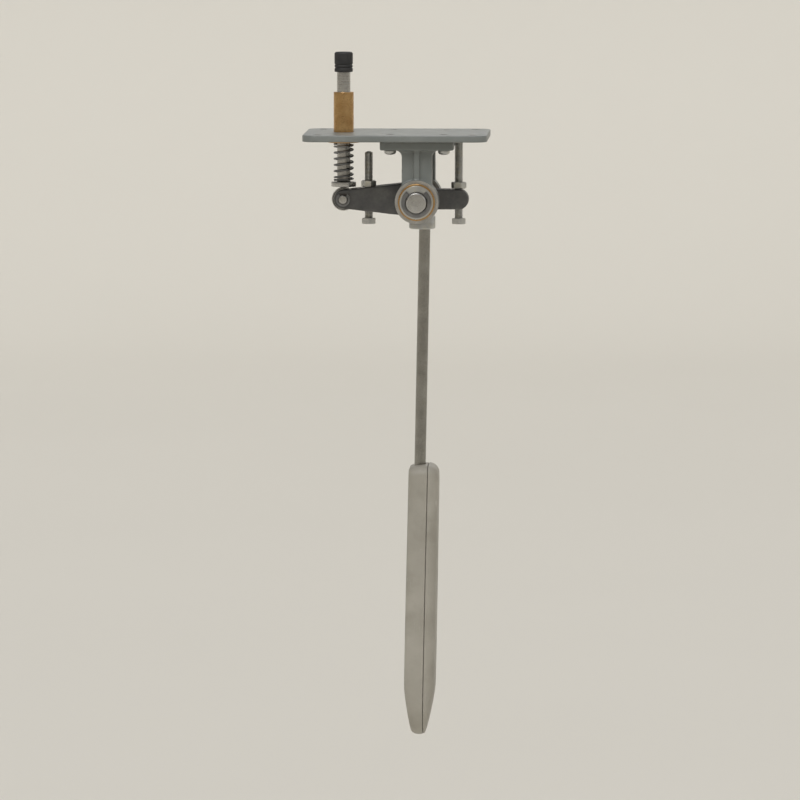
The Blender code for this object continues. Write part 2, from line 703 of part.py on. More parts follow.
def lever_rod(lever, look):
    """One bent rod. It lies along Y in the socket, turns down in front of it, and ends inside the pad."""
    start = (0.0, HEAD_MOUTH_Y + SOCKET_DEPTH - 0.001, 0.0)
    centre = (ROD_DROP_Y + ROD_BEND_R, -ROD_BEND_R)
    bend = [(0.0, y, z) for y, z in arc(centre, ROD_BEND_R, 90, 180, 8)]
    end = (0.0, ROD_DROP_Y, PAD_TOP - ROD_IN_PAD)
    rod = swept("lever_rod", [start, *bend, end], ROD_R, SMALL_ROUND, 0.0008)
    through = (-2 * ROD_R, 2 * ROD_R)
    drive_hole = cylinder("drive_pin_cutter", DRIVE_PIN[0] + GAP, *through, SMALL_ROUND)
    cut(rod, drive_hole, (0.0, DRIVE_PIN_Y, 0.0), "+X")
    lock_hole = cylinder("locating_pin_cutter", LOCATING_PIN[0] + GAP, *through, SMALL_ROUND)
    cut(rod, lock_hole, (0.0, ROD_DROP_Y, PAD_TOP - LOCATING_RIB_DOWN), "+Y")
    return place(rod, lever, look=look)


def half_breadth(up):
    """The pad's half breadth at a height above its tip, short of the top corners."""
    if up < PAD_END_LENGTH:
        return PAD_HALF_BREADTH * math.sqrt(1 - (1 - up / PAD_END_LENGTH) ** 2)
    straight = 0.45 * PAD_LENGTH
    share = max(0.0, (up - straight) / (PAD_LENGTH - straight))
    smooth = share * share * (3 - 2 * share)
    return PAD_HALF_BREADTH + (PAD_TOP_HALF_BREADTH - PAD_HALF_BREADTH) * smooth


def pad_outline():
    """(y, height above the tip) round the pad, from the tip up one side and down the other."""
    rises = [PAD_END_LENGTH * (1 - math.cos(math.radians(15 * k))) for k in range(7)]
    corner = PAD_TOP_CORNER_R
    reach = PAD_LENGTH - corner - PAD_END_LENGTH
    rises += [PAD_END_LENGTH + reach * k / 6 for k in range(1, 7)]
    side = [(half_breadth(up), up) for up in rises]
    corner_y = side[-1][0] - corner
    side += arc((corner_y, PAD_LENGTH - corner), corner, 22.5, 90, 3)
    return side + [(-y, up) for y, up in reversed(side[1:])]


def depth_at(up, side):
    """A shell's depth from the parting plane, by height above the tip. The taper sets in gently."""
    depth = PAD_BACK_X - PAD_PARTING_X if side > 0 else PAD_PARTING_X - PAD_KNEE_X
    drop = PAD_BACK_TIP_DROP if side > 0 else PAD_KNEE_TIP_DROP
    share = 1 - up / PAD_TAPER_LENGTH
    return depth - drop * (share + math.hypot(share, PAD_TAPER_BLEND)) / 2


def slant_at(up, x):
    """How far the round end is lifted, which is more towards the knee and nothing above the end."""
    return PAD_TIP_SLANT * max(0.0, 1 - up / PAD_END_LENGTH) ** 2 * x / (PAD_KNEE_X - PAD_BACK_X)


def bowl(shape, side, inset, steps):
    """Rings of vertices over one face of the pad, from its rim to near its middle line. side is +1 or -1
    along X. inset is a wall's thickness, taken off both the outline and the depth."""
    rounding = PAD_BACK_ROUND if side > 0 else PAD_KNEE_ROUND
    low_middle, high_middle = PAD_HALF_BREADTH, PAD_LENGTH - PAD_TOP_HALF_BREADTH
    bulges = [1 - math.cos(math.radians(90 * k / steps)) for k in range(steps + 1)]
    rings = []
    for bulge in bulges + [None]:
        row = []
        for y, up in pad_outline():
            middle = min(max(up, low_middle), high_middle)
            reach = math.hypot(y, up - middle)
            away = reach * 0.72 if bulge is None else inset + rounding * bulge
            share = (reach - away) / reach
            height = middle + (up - middle) * share
            full = 1.0 if bulge is None else math.sqrt(1 - (1 - bulge) ** 2)
            rise = full * max(PAD_INSIDE_MIN, depth_at(height, side) - inset) + (1 - full) * GAP / 2
            x = PAD_PARTING_X + side * rise
            z = PAD_TOP - PAD_LENGTH + height + slant_at(height, x)
            row.append(shape.verts.new((x, ROD_DROP_Y + y * share, z)))
        rings.append(row)
    return rings


def cover_middle(shape, row):
    """Closes the innermost ring with strips across the pad's middle line."""
    half = len(row) // 2
    for k in range(half):
        corners = dict.fromkeys((row[k], row[k + 1], row[-k - 1], row[-k]))
        shape.faces.new(list(corners))


def pad_shell(name, side):
    """A moulded half of the pad with an even wall, open at the parting plane."""
    shape = bmesh.new()
    outer = bowl(shape, side, 0.0, 4)
    inner = bowl(shape, side, PAD_WALL, 2)
    rows = list(reversed(outer)) + inner
    for lower, upper in zip(rows, rows[1:]):
        for k in range(len(lower)):
            after = (k + 1) % len(lower)
            shape.faces.new((lower[k], lower[after], upper[after], upper[k]))
    cover_middle(shape, outer[-1])
    cover_middle(shape, inner[-1])
    return mesh_object(name, shape)


def at_pad(y, down, x=0.0):
    """A place in the pad: across from the rod, and down from the pad's top."""
    return (x, ROD_DROP_Y + y, PAD_TOP - down)


def back_shell(lever, look):
    """The shell away from the knee. It carries the rod in two ribs and has a boss for each screw."""
    shell = pad_shell("pad_back_shell", 1)
    rim = PAD_PARTING_X + GAP / 2
    into_wall = PAD_BACK_X - PAD_WALL / 2
    for n, (y, down) in enumerate(PAD_SCREWS):
        boss = cylinder(f"back_boss_{n}", PAD_BOSS_R, rim, into_wall, SMALL_ROUND)
        add(shell, boss, at_pad(y, down), "+X")
    for side in (-1, 1):
        boss = cylinder(f"keeper_boss_{side}", KEEPER_BOSS_R, -ROD_R, into_wall, SMALL_ROUND)
        add(shell, boss, at_pad(side * KEEPER_SCREW_Y, KEEPER_DOWN), "+X")
    for n, (down, half, reach) in enumerate(ROD_RIBS):
        top = reach - RIB_CHAMFER
        corners = [(rim, reach), (0.001, reach), (into_wall, top)]
        outline = corners + [(x, -y) for x, y in reversed(corners)]
        rib = slab(f"rod_rib_{n}", outline, PAD_TOP - down - half, PAD_TOP - down + half)
        add(shell, rib, (0.0, ROD_DROP_Y, 0.0))
    cut_rod_channel(shell)
    drill_back_shell(shell)
    return place(shell, lever, look=look)


def cut_rod_channel(shell):
    """The round hole where the rod goes in, the channel it lies in, and the seat of its locating pin."""
    top_hole = cylinder("rod_hole_cutter", ROD_R + GAP, PAD_TOP - 0.008, PAD_TOP + 0.005)
    cut(shell, top_hole, (0.0, ROD_DROP_Y, 0.0))
    half = ROD_R + 2 * GAP
    channel = arc((0.0, 0.0), half, -90, 90, 8) + [(PAD_PARTING_X * 2, half), (PAD_PARTING_X * 2, -half)]
    channel_ends = (PAD_TOP - ROD_IN_PAD - 0.002, PAD_TOP - 0.0038)
    cut(shell, slab("rod_channel_cutter", channel, *channel_ends), (0.0, ROD_DROP_Y, 0.0))
    pin_r, pin_half = LOCATING_PIN
    room, reach = pin_r + GAP, pin_half + GAP
    low = at_pad(-reach, LOCATING_RIB_DOWN + room, PAD_PARTING_X - 0.002)
    high = at_pad(reach, LOCATING_RIB_DOWN - room, room)
    cut(shell, block("pin_seat_cutter", low, high))


def drill_back_shell(shell):
    """The stepped holes that sink the pad screws' heads, and the holes for the keeper's screws."""
    far = 0.02
    hole_r = PAD_SCREW_R + GAP
    head_r = PAD_SCREW_HEAD[0] + GAP
    head_low = PAD_BACK_X - PAD_SCREW_SINK - PAD_SCREW_HEAD[1] - GAP
    profile = [(0.0, -far), (hole_r, -far), (hole_r, head_low)]
    profile += [(head_r, head_low), (head_r, far), (0.0, far)]
    for n, (y, down) in enumerate(PAD_SCREWS):
        cut(shell, turned(f"back_drill_{n}", profile, SMALL_ROUND), at_pad(y, down), "+X")
    for side in (-1, 1):
        drill = cylinder(f"keeper_drill_{side}", hole_r, -far, 0.004, SMALL_ROUND)
        cut(shell, drill, at_pad(side * KEEPER_SCREW_Y, KEEPER_DOWN), "+X")


def knee_shell(lever, look):
    """The shell that the knee pushes, with a blind boss for each screw."""
    shell = pad_shell("pad_knee_shell", -1)
    rim = PAD_PARTING_X - GAP / 2
    into_wall = PAD_KNEE_X + PAD_WALL / 2
    for n, (y, down) in enumerate(PAD_SCREWS):
        boss = cylinder(f"knee_boss_{n}", PAD_BOSS_R - 0.0005, into_wall, rim, SMALL_ROUND)
        add(shell, boss, at_pad(y, down), "+X")
    for n, (y, down) in enumerate(PAD_SCREWS):
        hole = cylinder(f"knee_drill_{n}", PAD_SCREW_R + GAP, PAD_KNEE_X + PAD_WALL, 0.0, SMALL_ROUND)
        cut(shell, hole, at_pad(y, down), "+X")
    return place(shell, lever, look=look)


def keeper(lever, looks):
    """The steel strap that holds the rod down in the back shell, and its two screws."""
    half_y, half_z = KEEPER_HALF
    near = -ROD_R - GAP
    strap = block("rod_keeper", (near - KEEPER_T, -half_y, -half_z), (near, half_y, half_z))
    for side in (-1, 1):
        drill = cylinder(f"strap_drill_{side}", PAD_SCREW_R + GAP, -half_y, half_y, SMALL_ROUND)
        cut(strap, drill, (0.0, side * KEEPER_SCREW_Y, 0.0), "+X")
    place(strap, lever, at_pad(0.0, KEEPER_DOWN), look=looks["zinc"])
    for n, side in enumerate((-1, 1), 1):
        screw = pan_screw(f"keeper_screw_{n}", KEEPER_SCREW_HEAD, PAD_SCREW_R, KEEPER_SCREW_LENGTH)
        at = at_pad(side * KEEPER_SCREW_Y, KEEPER_DOWN, near - KEEPER_T - GAP)
        place(screw, lever, at, "+X", looks["zinc"])


def make_lever(lever, looks):
    lever_rod(lever, looks["plated"])
    for name, (radius, half), at, along in (
        ("drive_pin", DRIVE_PIN, (0.0, DRIVE_PIN_Y, 0.0), "+X"),
        ("locating_pin", LOCATING_PIN, at_pad(0.0, LOCATING_RIB_DOWN), "+Y"),
    ):
        place(cylinder(name, radius, -half, half, SMALL_ROUND), lever, at, along, looks["steel"])
    back_shell(lever, looks["pad"])
    knee_shell(lever, looks["pad"])
    keeper(lever, looks)
    seat = PAD_BACK_X - PAD_SCREW_SINK - PAD_SCREW_HEAD[1]
    for n, (y, down) in enumerate(PAD_SCREWS, 1):
        screw = pan_screw(f"pad_screw_{n}", PAD_SCREW_HEAD, PAD_SCREW_R, PAD_SCREW_LENGTH)
        place(screw, lever, at_pad(y, down, seat), "-X", looks["zinc"])


def main():
    clear_scene()
    looks = make_materials()
    base = frame("bracket_frame", (0.0, 0.0, 0.0))
    pivot = frame("rocker_frame", (0.0, 0.0, PIVOT_Z))
    lever = frame("lever_frame", (0.0, 0.0, 0.0), pivot, -LEVER_LEAN)
    make_bracket(base, looks)
    make_rocker(pivot, looks)
    make_roller(pivot, looks)
    make_lift_rod(looks)
    make_thumb_screw(pivot, looks)
    make_lever(lever, looks)


main()
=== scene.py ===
"""The looks of a sewing machine's knee pedal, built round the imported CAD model.

Every CAD node is replaced by a finer piece in the same place: castings with soft corners and
machined faces, real threads, knurls and rounded edges, and moulded pad shells. Lengths are metres,
in the row frame.
"""

import json
from math import asin, cos, degrees, exp, hypot, pi, radians, sin, sqrt, tan

import bmesh
import bpy
from mathutils import Euler, Matrix, Vector, noise


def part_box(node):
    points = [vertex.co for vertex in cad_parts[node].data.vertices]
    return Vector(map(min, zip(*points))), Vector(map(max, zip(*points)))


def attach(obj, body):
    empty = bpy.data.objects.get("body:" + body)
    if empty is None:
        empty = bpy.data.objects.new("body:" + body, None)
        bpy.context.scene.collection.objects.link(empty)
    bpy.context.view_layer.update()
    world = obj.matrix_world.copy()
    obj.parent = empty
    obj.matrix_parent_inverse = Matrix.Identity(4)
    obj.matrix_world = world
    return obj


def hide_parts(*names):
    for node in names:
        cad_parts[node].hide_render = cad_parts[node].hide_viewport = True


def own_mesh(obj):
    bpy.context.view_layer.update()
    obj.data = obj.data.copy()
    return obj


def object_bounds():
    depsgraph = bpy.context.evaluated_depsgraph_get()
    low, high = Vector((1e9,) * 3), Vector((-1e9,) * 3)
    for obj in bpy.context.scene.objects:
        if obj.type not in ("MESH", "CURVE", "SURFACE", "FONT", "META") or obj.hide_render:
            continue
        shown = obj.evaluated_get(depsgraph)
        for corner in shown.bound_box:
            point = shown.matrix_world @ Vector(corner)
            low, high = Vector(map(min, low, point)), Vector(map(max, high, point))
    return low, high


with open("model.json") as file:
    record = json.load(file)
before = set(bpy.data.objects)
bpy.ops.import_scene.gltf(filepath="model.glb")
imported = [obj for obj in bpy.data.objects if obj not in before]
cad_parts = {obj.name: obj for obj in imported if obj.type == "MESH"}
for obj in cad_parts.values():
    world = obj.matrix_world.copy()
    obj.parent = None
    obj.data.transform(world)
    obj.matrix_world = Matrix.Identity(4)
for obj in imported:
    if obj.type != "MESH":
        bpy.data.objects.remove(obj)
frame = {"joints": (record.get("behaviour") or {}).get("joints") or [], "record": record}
cad_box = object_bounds()

GAP = 0.0003  # air between pieces, as in the CAD
JOINTS = {joint["name"]: joint for joint in frame["joints"]}
BODIES = frame["record"]["behaviour"]["bodies"]
BODY_OF = {node: body for body, nodes in BODIES.items() for node in nodes}
PIVOT = Vector(JOINTS["knee_swing"]["pos_m"])
ROLLER_AXIS = Vector(JOINTS["roller_spin"]["pos_m"])
THUMB_AXIS = Vector(JOINTS["thumb_screw_turn"]["pos_m"])
LEVER_LEAN = radians(1.1)
LEVER_FRAME = Matrix.Translation(PIVOT) @ Matrix.Rotation(-LEVER_LEAN, 4, "Y")

# Fixed bracket
PLATE_T = 0.004
PLATE_CORNER_R = 0.008
TABLE_SCREW_INSET = 0.009
TABLE_SCREW_R = 0.0026
COUNTERSINK_R = 0.0047
HANGER_Y = 0.026
HANGER_FOOT = (0.022, 0.008, 0.005)  # half sizes, and thickness
HANGER_WAIST = (0.009, 0.005)  # half sizes
HANGER_BOSS = (0.013, 0.008)  # radius and half length
HANGER_SCREW_X = 0.016
HANGER_SCREW_HEAD_H = 0.0026
BUSH_R = 0.008
SLEEVE_R = 0.006
SLEEVE_FLANGE_T = 0.002
WIRE_R = 0.0006
SPRING_R = 0.0055
SPRING_TURNS = 7.0

# Rocker and what it carries
SHAFT_R = 0.006
CLIP_GROOVE_R = 0.0048
HEAD_BACK_Y = -0.0381
HEAD_MOUTH_Y = -0.069
SOCKET_DEPTH = 0.028
PIN_SLOT = (0.0018, 0.006)  # half width and depth
HUB = (0.0115, 0.009)  # radius and half length
ARM_HALF_WIDTH = 0.0085
ARM_TIP_R = 0.0055
FORK_HALF_GAP = 0.0045
FORK_START_X = 0.0365
TAIL_HALF = (0.006, 0.0065)  # height and width
M4_R = 0.002
M5_R = 0.0025
M5_PITCH = 0.0008
M5_DEPTH = 0.00045
NUT_FLATS = 0.008
HEX_CORNER_R = NUT_FLATS / sqrt(3)
HEX_FACE_R = NUT_FLATS * 0.475
REST_STOP_X = -0.024
LIFT_STOP_X = 0.030
LIFT_SEAT = 0.0068
STOP_HEAD_H = 0.0035
ROLLER_PIN_R = 0.0025
ROLLER_PIN_HEAD_H = 0.002
PIN_GROOVE_R = 0.0018
LIFT_ROD_R = 0.004
LIFT_ROD_FOOT_H = 0.003

# Lever and pad, from the pivot in the lever's own frame
ROD_R = 0.0035
ROD_DROP_Y = -0.105
ROD_BEND_R = 0.020
PAD_TOP = -0.170
PAD_LENGTH = 0.1685
PAD_HALF_BREADTH = 0.021
PAD_TOP_HALF_BREADTH = 0.0155
PAD_TOP_CORNER_R = 0.006
PAD_BACK_X = 0.0070
PAD_KNEE_X = -0.0122
PAD_PARTING_X = -0.0052
PAD_END_LENGTH = 0.024
PAD_TAPER_LENGTH = 0.030
PAD_TAPER_BLEND = 0.12
PAD_BACK_TIP_DROP = 0.0052
PAD_KNEE_TIP_DROP = 0.0050
PAD_TIP_SLANT = 0.004
PAD_BACK_ROUND = 0.0035
PAD_KNEE_ROUND = 0.007
PAD_WALL = 0.0024
PAD_INSIDE_MIN = 0.0008
PAD_RIM_BEVEL = 0.0003
PAD_CROWN = 0.0004
PAD_TOP_THINNING = 0.0003
PAD_SCREWS = ((-0.010, 0.024), (0.010, 0.024), (0.0, 0.138))  # across, and down from the top
SMALL_SCREW_R = 0.00145
PAD_SCREW_SEAT_X = 0.0027
KEEPER_DOWN = 0.060
KEEPER_SCREWS = ((-0.0085, KEEPER_DOWN), (0.0085, KEEPER_DOWN))
LOCATING_PIN_DOWN = 0.092
LOCATING_PIN = (0.00125, 0.006)  # radius and half length
DRIVE_PIN = (0.0015, 0.0085)
DRIVE_PIN_Y = HEAD_MOUTH_Y + 0.003
ROD_RIBS = ((0.010, 0.0015, 0.0142), (LOCATING_PIN_DOWN, 0.004, 0.0185))  # down, half, reach
RIB_CHAMFER = 0.0024
ROD_IN_PAD = 0.100
# Head radius and height, shank radius, length
PAD_SCREW_SIZES = (0.0028, 0.0020, SMALL_SCREW_R, 0.012)
KEEPER_SCREW_SIZES = (0.0026, 0.0016, SMALL_SCREW_R, 0.009)

SIDES = 96


# ---- shapes ----

ALONG = {
    name: Euler([radians(angle) for angle in angles]).to_matrix().to_4x4()
    for name, angles in (
        ("+X", (0, 90, 0)),
        ("-X", (0, -90, 0)),
        ("+Y", (-90, 0, 0)),
        ("-Y", (90, 0, 0)),
        ("+Z", (0, 0, 0)),
        ("-Z", (180, 0, 0)),
    )
}


def bridge(shape, rings, around=False):
    """Faces from each ring of vertices to the next, and from the last to the first if around."""
    pairs = list(zip(rings, rings[1:]))
    if around:
        pairs.append((rings[-1], rings[0]))
    for lower, upper in pairs:
        for k in range(len(lower)):
            after = (k + 1) % len(lower)
            corners = (lower[k], lower[after], upper[after], upper[k])
            shape.faces.new(list(dict.fromkeys(corners)))


def turned(profile, sides=SIDES, form=None):
    """A surface turned about Z from (radius, height) points, from axis to axis or a closed loop.
    form(angle, radius, height) may move each point, for a thread, a knurl or a hexagon."""
    shape = bmesh.new()
    rings = []
    for radius, height in profile:
        if radius == 0.0:
            rings.append([shape.verts.new((0.0, 0.0, height))] * sides)
            continue
        ring = []
        for k in range(sides):
            angle = 2 * pi * k / sides
            r, z = form(angle, radius, height) if form else (radius, height)
            ring.append(shape.verts.new((r * cos(angle), r * sin(angle), z)))
        rings.append(ring)
    bridge(shape, rings, around=profile[0][0] > 0.0)
    return shape


def rounded(profile, radius, closed=False, steps=4):
    """The profile with its corners rounded off, each by at most the radius."""
    count = len(profile)
    result = []
    for k, corner in enumerate(profile):
        if not closed and k in (0, count - 1):
            result.append(corner)
            continue
        here, before, after = (Vector(profile[n % count]) for n in (k, k - 1, k + 1))
        back, ahead = before - here, after - here
        reach = min(radius, 0.45 * back.length, 0.45 * ahead.length)
        start, end = here + back.normalized() * reach, here + ahead.normalized() * reach
        for n in range(steps + 1):
            t = n / steps
            point = start * (1 - t) ** 2 + here * 2 * t * (1 - t) + end * t**2
            result.append(tuple(point))
    return result


def stepped(start, end, count):
    """Points from start up to but without end, for a stretch of a profile that needs many rings."""
    return [tuple(Vector(start).lerp(Vector(end), k / count)) for k in range(count)]


def bar(start, *steps, inner=0.0):
    """The profile of a stepped bar, or of a ring round inner. Each step is a radius and an end."""
    profile = [(inner, start)]
    for radius, end in steps:
        profile += [(radius, profile[-1][1]), (radius, end)]
    return profile + [(inner, profile[-1][1])]


def cylinder(radius, low, high, sides=SIDES):
    return turned(bar(low, (radius, high)), sides)


def slab(outline, low, high):
    """The outline's (x, y) points, extruded from low to high along Z."""
    shape = bmesh.new()
    face = shape.faces.new([shape.verts.new((x, y, low)) for x, y in outline])
    grown = bmesh.ops.extrude_face_region(shape, geom=[face])
    raised = [v for v in grown["geom"] if isinstance(v, bmesh.types.BMVert)]
    bmesh.ops.translate(shape, verts=raised, vec=(0.0, 0.0, high - low))
    return shape


def block(low, high):
    outline = [(low[0], low[1]), (high[0], low[1]), (high[0], high[1]), (low[0], high[1])]
    return slab(outline, low[2], high[2])


def arc(centre, radius, start, end, steps):
    angles = [radians(start + (end - start) * k / steps) for k in range(steps + 1)]
    return [(centre[0] + radius * cos(a), centre[1] + radius * sin(a)) for a in angles]


def belt(radius_a, reach, radius_b, steps=40):
    """The outline of a belt round two circles, one on the axis and one at reach along X."""
    lean = degrees(asin((radius_a - radius_b) / reach))
    outer = arc((reach, 0.0), radius_b, lean - 90, 90 - lean, steps)
    return outer + arc((0.0, 0.0), radius_a, 90 - lean, 270 + lean, steps)


def quarter_turn(steps):
    return [pi / 2 * k / steps for k in range(steps + 1)]


def swept(path, radius, sides, end_round):
    """A round bar or wire along a path, with its ends rounded over."""
    points = [Vector(p) for p in path]
    turns = quarter_turn(4)
    taper = [radius - end_round * (1 - cos(t)) for t in turns]
    for end, after in ((0, 1), (-1, -2)):
        here = points[end]
        way = (points[after] - here).normalized()
        points[end] = [here + way * end_round * (1 - sin(t)) for t in turns]
    points = [*reversed(points[0]), *points[1:-1], *points[-1]]
    radii = [*reversed(taper), *[radius] * (len(path) - 2), *taper]
    shape = bmesh.new()
    ahead = (points[1] - points[0]).normalized()
    side = Vector((1.0, 0.0, 0.0)) if abs(ahead.x) < 0.9 else Vector((0.0, 1.0, 0.0))
    rings = []
    for k, point in enumerate(points):
        ahead = (points[min(k + 1, len(points) - 1)] - points[max(k - 1, 0)]).normalized()
        side = (side - ahead * side.dot(ahead)).normalized()
        other = ahead.cross(side)
        angles = [2 * pi * n / sides for n in range(sides)]
        offsets = [(side * cos(a) + other * sin(a)) * radii[k] for a in angles]
        rings.append([shape.verts.new(point + offset) for offset in offsets])
    bridge(shape, rings)
    shape.faces.new(rings[0])
    shape.faces.new(rings[-1])
    return shape


def moved(shape, location=(0.0, 0.0, 0.0), along="+Z"):
    place = Matrix.Translation(location) @ ALONG[along]
    bmesh.ops.transform(shape, matrix=place, verts=shape.verts)
    return shape


def merged(shapes):
    """Several shapes in one bmesh, without joining them."""
    whole = bmesh.new()
    for shape in shapes:
        mesh = bpy.data.meshes.new("part")
        bmesh.ops.recalc_face_normals(shape, faces=shape.faces)
        shape.to_mesh(mesh)
        shape.free()
        whole.from_mesh(mesh)
        bpy.data.meshes.remove(mesh)
    return whole


# ---- objects ----


def solid(shape, look=None):
    """A loose object from a shape, facing outwards."""
    bmesh.ops.recalc_face_normals(shape, faces=shape.faces)
    mesh = bpy.data.meshes.new("solid")
    shape.to_mesh(mesh)
    shape.free()
    obj = bpy.data.objects.new("solid", mesh)
    bpy.context.scene.collection.objects.link(obj)
    if look:
        mesh.materials.append(look)
    return obj


def spun(profile, rounding, look, closed=False, sides=SIDES):
    """A turned object whose profile's corners are rounded."""
    return solid(turned(rounded(profile, rounding, closed), sides), look)


def bake(obj):
    """Applies obj's modifiers to its mesh."""
    graph = bpy.context.evaluated_depsgraph_get()
    mesh = bpy.data.meshes.new_from_object(obj.evaluated_get(graph))
    obj.modifiers.clear()
    obj.data = mesh
    return obj


def carve(obj, shape, operation="DIFFERENCE", look=None):
    """Cuts a shape from obj, or adds it. The new faces have the look, or obj's own."""
    other = solid(shape, look or obj.data.materials[0])
    step = obj.modifiers.new("carve", "BOOLEAN")
    step.operation = operation
    step.solver = "EXACT"
    step.material_mode = "TRANSFER"
    step.object = other
    bake(obj)
    bpy.data.objects.remove(other)
    return obj


def machine(obj, looks, *cutters):
    """Cuts machined faces, bores and holes."""
    for cutter in cutters:
        carve(obj, cutter, look=looks["machined"])


def bevel(obj, width, segments=2, angle=40):
    """Rounds obj's sharp edges."""
    step = obj.modifiers.new("bevel", "BEVEL")
    step.width = width
    step.segments = segments
    step.limit_method = "ANGLE"
    step.angle_limit = radians(angle)
    return bake(obj)


def closed(obj):
    """Fills the hair-thin slits that a cut can leave where two walls meet."""
    shape = bmesh.new()
    shape.from_mesh(obj.data)
    bmesh.ops.holes_fill(shape, edges=[edge for edge in shape.edges if edge.is_boundary])
    bmesh.ops.recalc_face_normals(shape, faces=shape.faces)
    shape.to_mesh(obj.data)
    shape.free()
    return obj


def cast(shapes, look, voxel=0.00045, rounds=9):
    """One body from overlapping shapes, with the soft inner and outer corners of a casting."""
    obj = solid(merged(shapes), look)
    remesh = obj.modifiers.new("remesh", "REMESH")
    remesh.mode = "VOXEL"
    remesh.voxel_size = voxel
    soften = obj.modifiers.new("soften", "SMOOTH")
    soften.factor = 0.5
    soften.iterations = rounds
    bake(obj)
    if not obj.data.materials:
        obj.data.materials.append(look)
    return obj


def roughen(obj):
    """Gives the faces that weren't machined a casting's uneven skin, and its mould's seam."""
    faces = [face for face in obj.data.polygons if face.material_index]
    machined = {index for face in faces for index in face.vertices}
    normals = [vertex.normal.copy() for vertex in obj.data.vertices]
    for vertex, normal in zip(obj.data.vertices, normals):
        if vertex.index in machined:
            continue
        broad = noise.noise(vertex.co * 160.0)
        fine = noise.noise(vertex.co * 700.0)
        seam = exp(-((vertex.co.z / 0.0004) ** 2)) * (1 - abs(normal.z))
        vertex.co += normal * (0.00009 * broad + 0.00004 * fine + 0.00016 * seam)


def extent(node):
    """A CAD node's lowest and highest corner, and half its width: its radius if it is round."""
    low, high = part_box(node)
    return low, high, (high.x - low.x) / 2


def piece(obj, node, location=(0.0, 0.0, 0.0), along="+Z", base=None, smooth=35):
    """Puts a finished object in place of a CAD node and lets it ride on that node's body."""
    obj.name = node + "_fine"
    obj.data.name = obj.name
    obj.data.shade_smooth()
    obj.data.set_sharp_from_angle(angle=radians(smooth))
    obj.matrix_world = (base or Matrix.Identity(4)) @ Matrix.Translation(location) @ ALONG[along]
    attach(obj, BODY_OF[node])
    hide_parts(node)
    return obj


# ---- materials ----


class Graph:
    """Shader nodes that are added one after the other."""

    def __init__(self, tree):
        self.tree = tree

    def join(self, value, socket):
        if isinstance(value, bpy.types.NodeSocket):
            self.tree.links.new(value, socket)
        elif isinstance(value, tuple) and len(value) == 3 and socket.type == "RGBA":
            socket.default_value = (*value, 1.0)
        else:
            socket.default_value = value

    def add(self, kind, output, inputs=(), **settings):
        """The named output of a new node."""
        node = self.tree.nodes.new("ShaderNode" + kind)
        for key, value in settings.items():
            setattr(node, key, value)
        for key, value in dict(inputs).items():
            self.join(value, node.inputs[key])
        return node.outputs[output]

    def times(self, first, second):
        return self.add("Math", "Value", {0: first, 1: second}, operation="MULTIPLY")

    def plus(self, first, second):
        return self.add("Math", "Value", {0: first, 1: second}, operation="ADD")

    def dot(self, first, second):
        return self.add("VectorMath", "Value", {0: first, 1: second}, operation="DOT_PRODUCT")

    def band(self, value, low, high, start=0.0, end=1.0, **settings):
        """value, stretched so that low gives start and high gives end."""
        inputs = {"Value": value, "From Min": low, "From Max": high, "To Min": start, "To Max": end}
        return self.add("MapRange", "Result", inputs, **settings)


class Look(Graph):
    """A material in the making. Sizes of noise are metres on the object."""

    def __init__(self, name, metallic=0.0):
        self.material = bpy.data.materials.new(name)
        self.material.use_nodes = True
        super().__init__(self.material.node_tree)
        self.shader = self.tree.nodes["Principled BSDF"]
        self.shader.inputs["Metallic"].default_value = metallic
        self.place = self.add("TexCoord", "Object")

    def done(self, color, rough, relief, **others):
        """The finished material."""
        inputs = {"Base Color": color, "Roughness": rough, "Normal": relief, **others}
        for key, value in inputs.items():
            self.join(value, self.shader.inputs[key])
        return self.material

    def stretched(self, stretch):
        """The object's own coordinates, scaled along each axis."""
        return self.add("Mapping", "Vector", {"Vector": self.place, "Scale": stretch})

    def ringed(self):
        """Coordinates that change only with the distance from the Z axis and along it."""
        parts = self.add("SeparateXYZ", "X", {"Vector": self.place}).node.outputs
        flat = self.add("CombineXYZ", "Vector", {"X": parts["X"], "Y": parts["Y"]})
        reach = self.add("VectorMath", "Value", {0: flat}, operation="LENGTH")
        return self.add("CombineXYZ", "Vector", {"X": reach, "Z": parts["Z"]})

    def noise(self, size, detail=3.0, vector=None, roughness=0.55):
        place = vector or self.place
        inputs = {"Vector": place, "Scale": 1 / size, "Detail": detail, "Roughness": roughness}
        return self.add("TexNoise", "Fac", inputs)

    def patches(self, size, detail=3.0, low=0.3, high=0.7, start=0.0, end=1.0):
        """Soft patches that go from start to end where the noise goes from low to high."""
        return self.band(self.noise(size, detail), low, high, start, end)

    def cells(self, size):
        return self.add("TexVoronoi", "Distance", {"Vector": self.place, "Scale": 1 / size})

    def blend(self, factor, first, second):
        return self.add("Mix", 2, {0: factor, 6: first, 7: second}, data_type="RGBA")

    def tint(self, color, tone, mask, share):
        """color, turned towards tone by a share of the mask."""
        return self.blend(self.times(mask, share), color, tone)

    def edges(self, radius, low=0.02, high=0.25):
        """1 on sharp edges and 0 on flat stretches."""
        soft = self.add("Bevel", "Normal", {"Radius": radius}, samples=6)
        plain = self.add("NewGeometry", "Normal")
        return self.band(self.dot(soft, plain), 1 - low, 1 - high)

    def corners(self, distance, low=0.35, high=0.85):
        """1 in crevices and 0 in the open."""
        open_air = self.add("AmbientOcclusion", "AO", {"Distance": distance}, samples=6)
        return self.band(open_air, high, low)

    def bump(self, height, strength, distance, normal=None):
        inputs = {"Height": height, "Strength": strength, "Distance": distance}
        if normal:
            inputs["Normal"] = normal
        return self.add("Bump", "Normal", inputs)


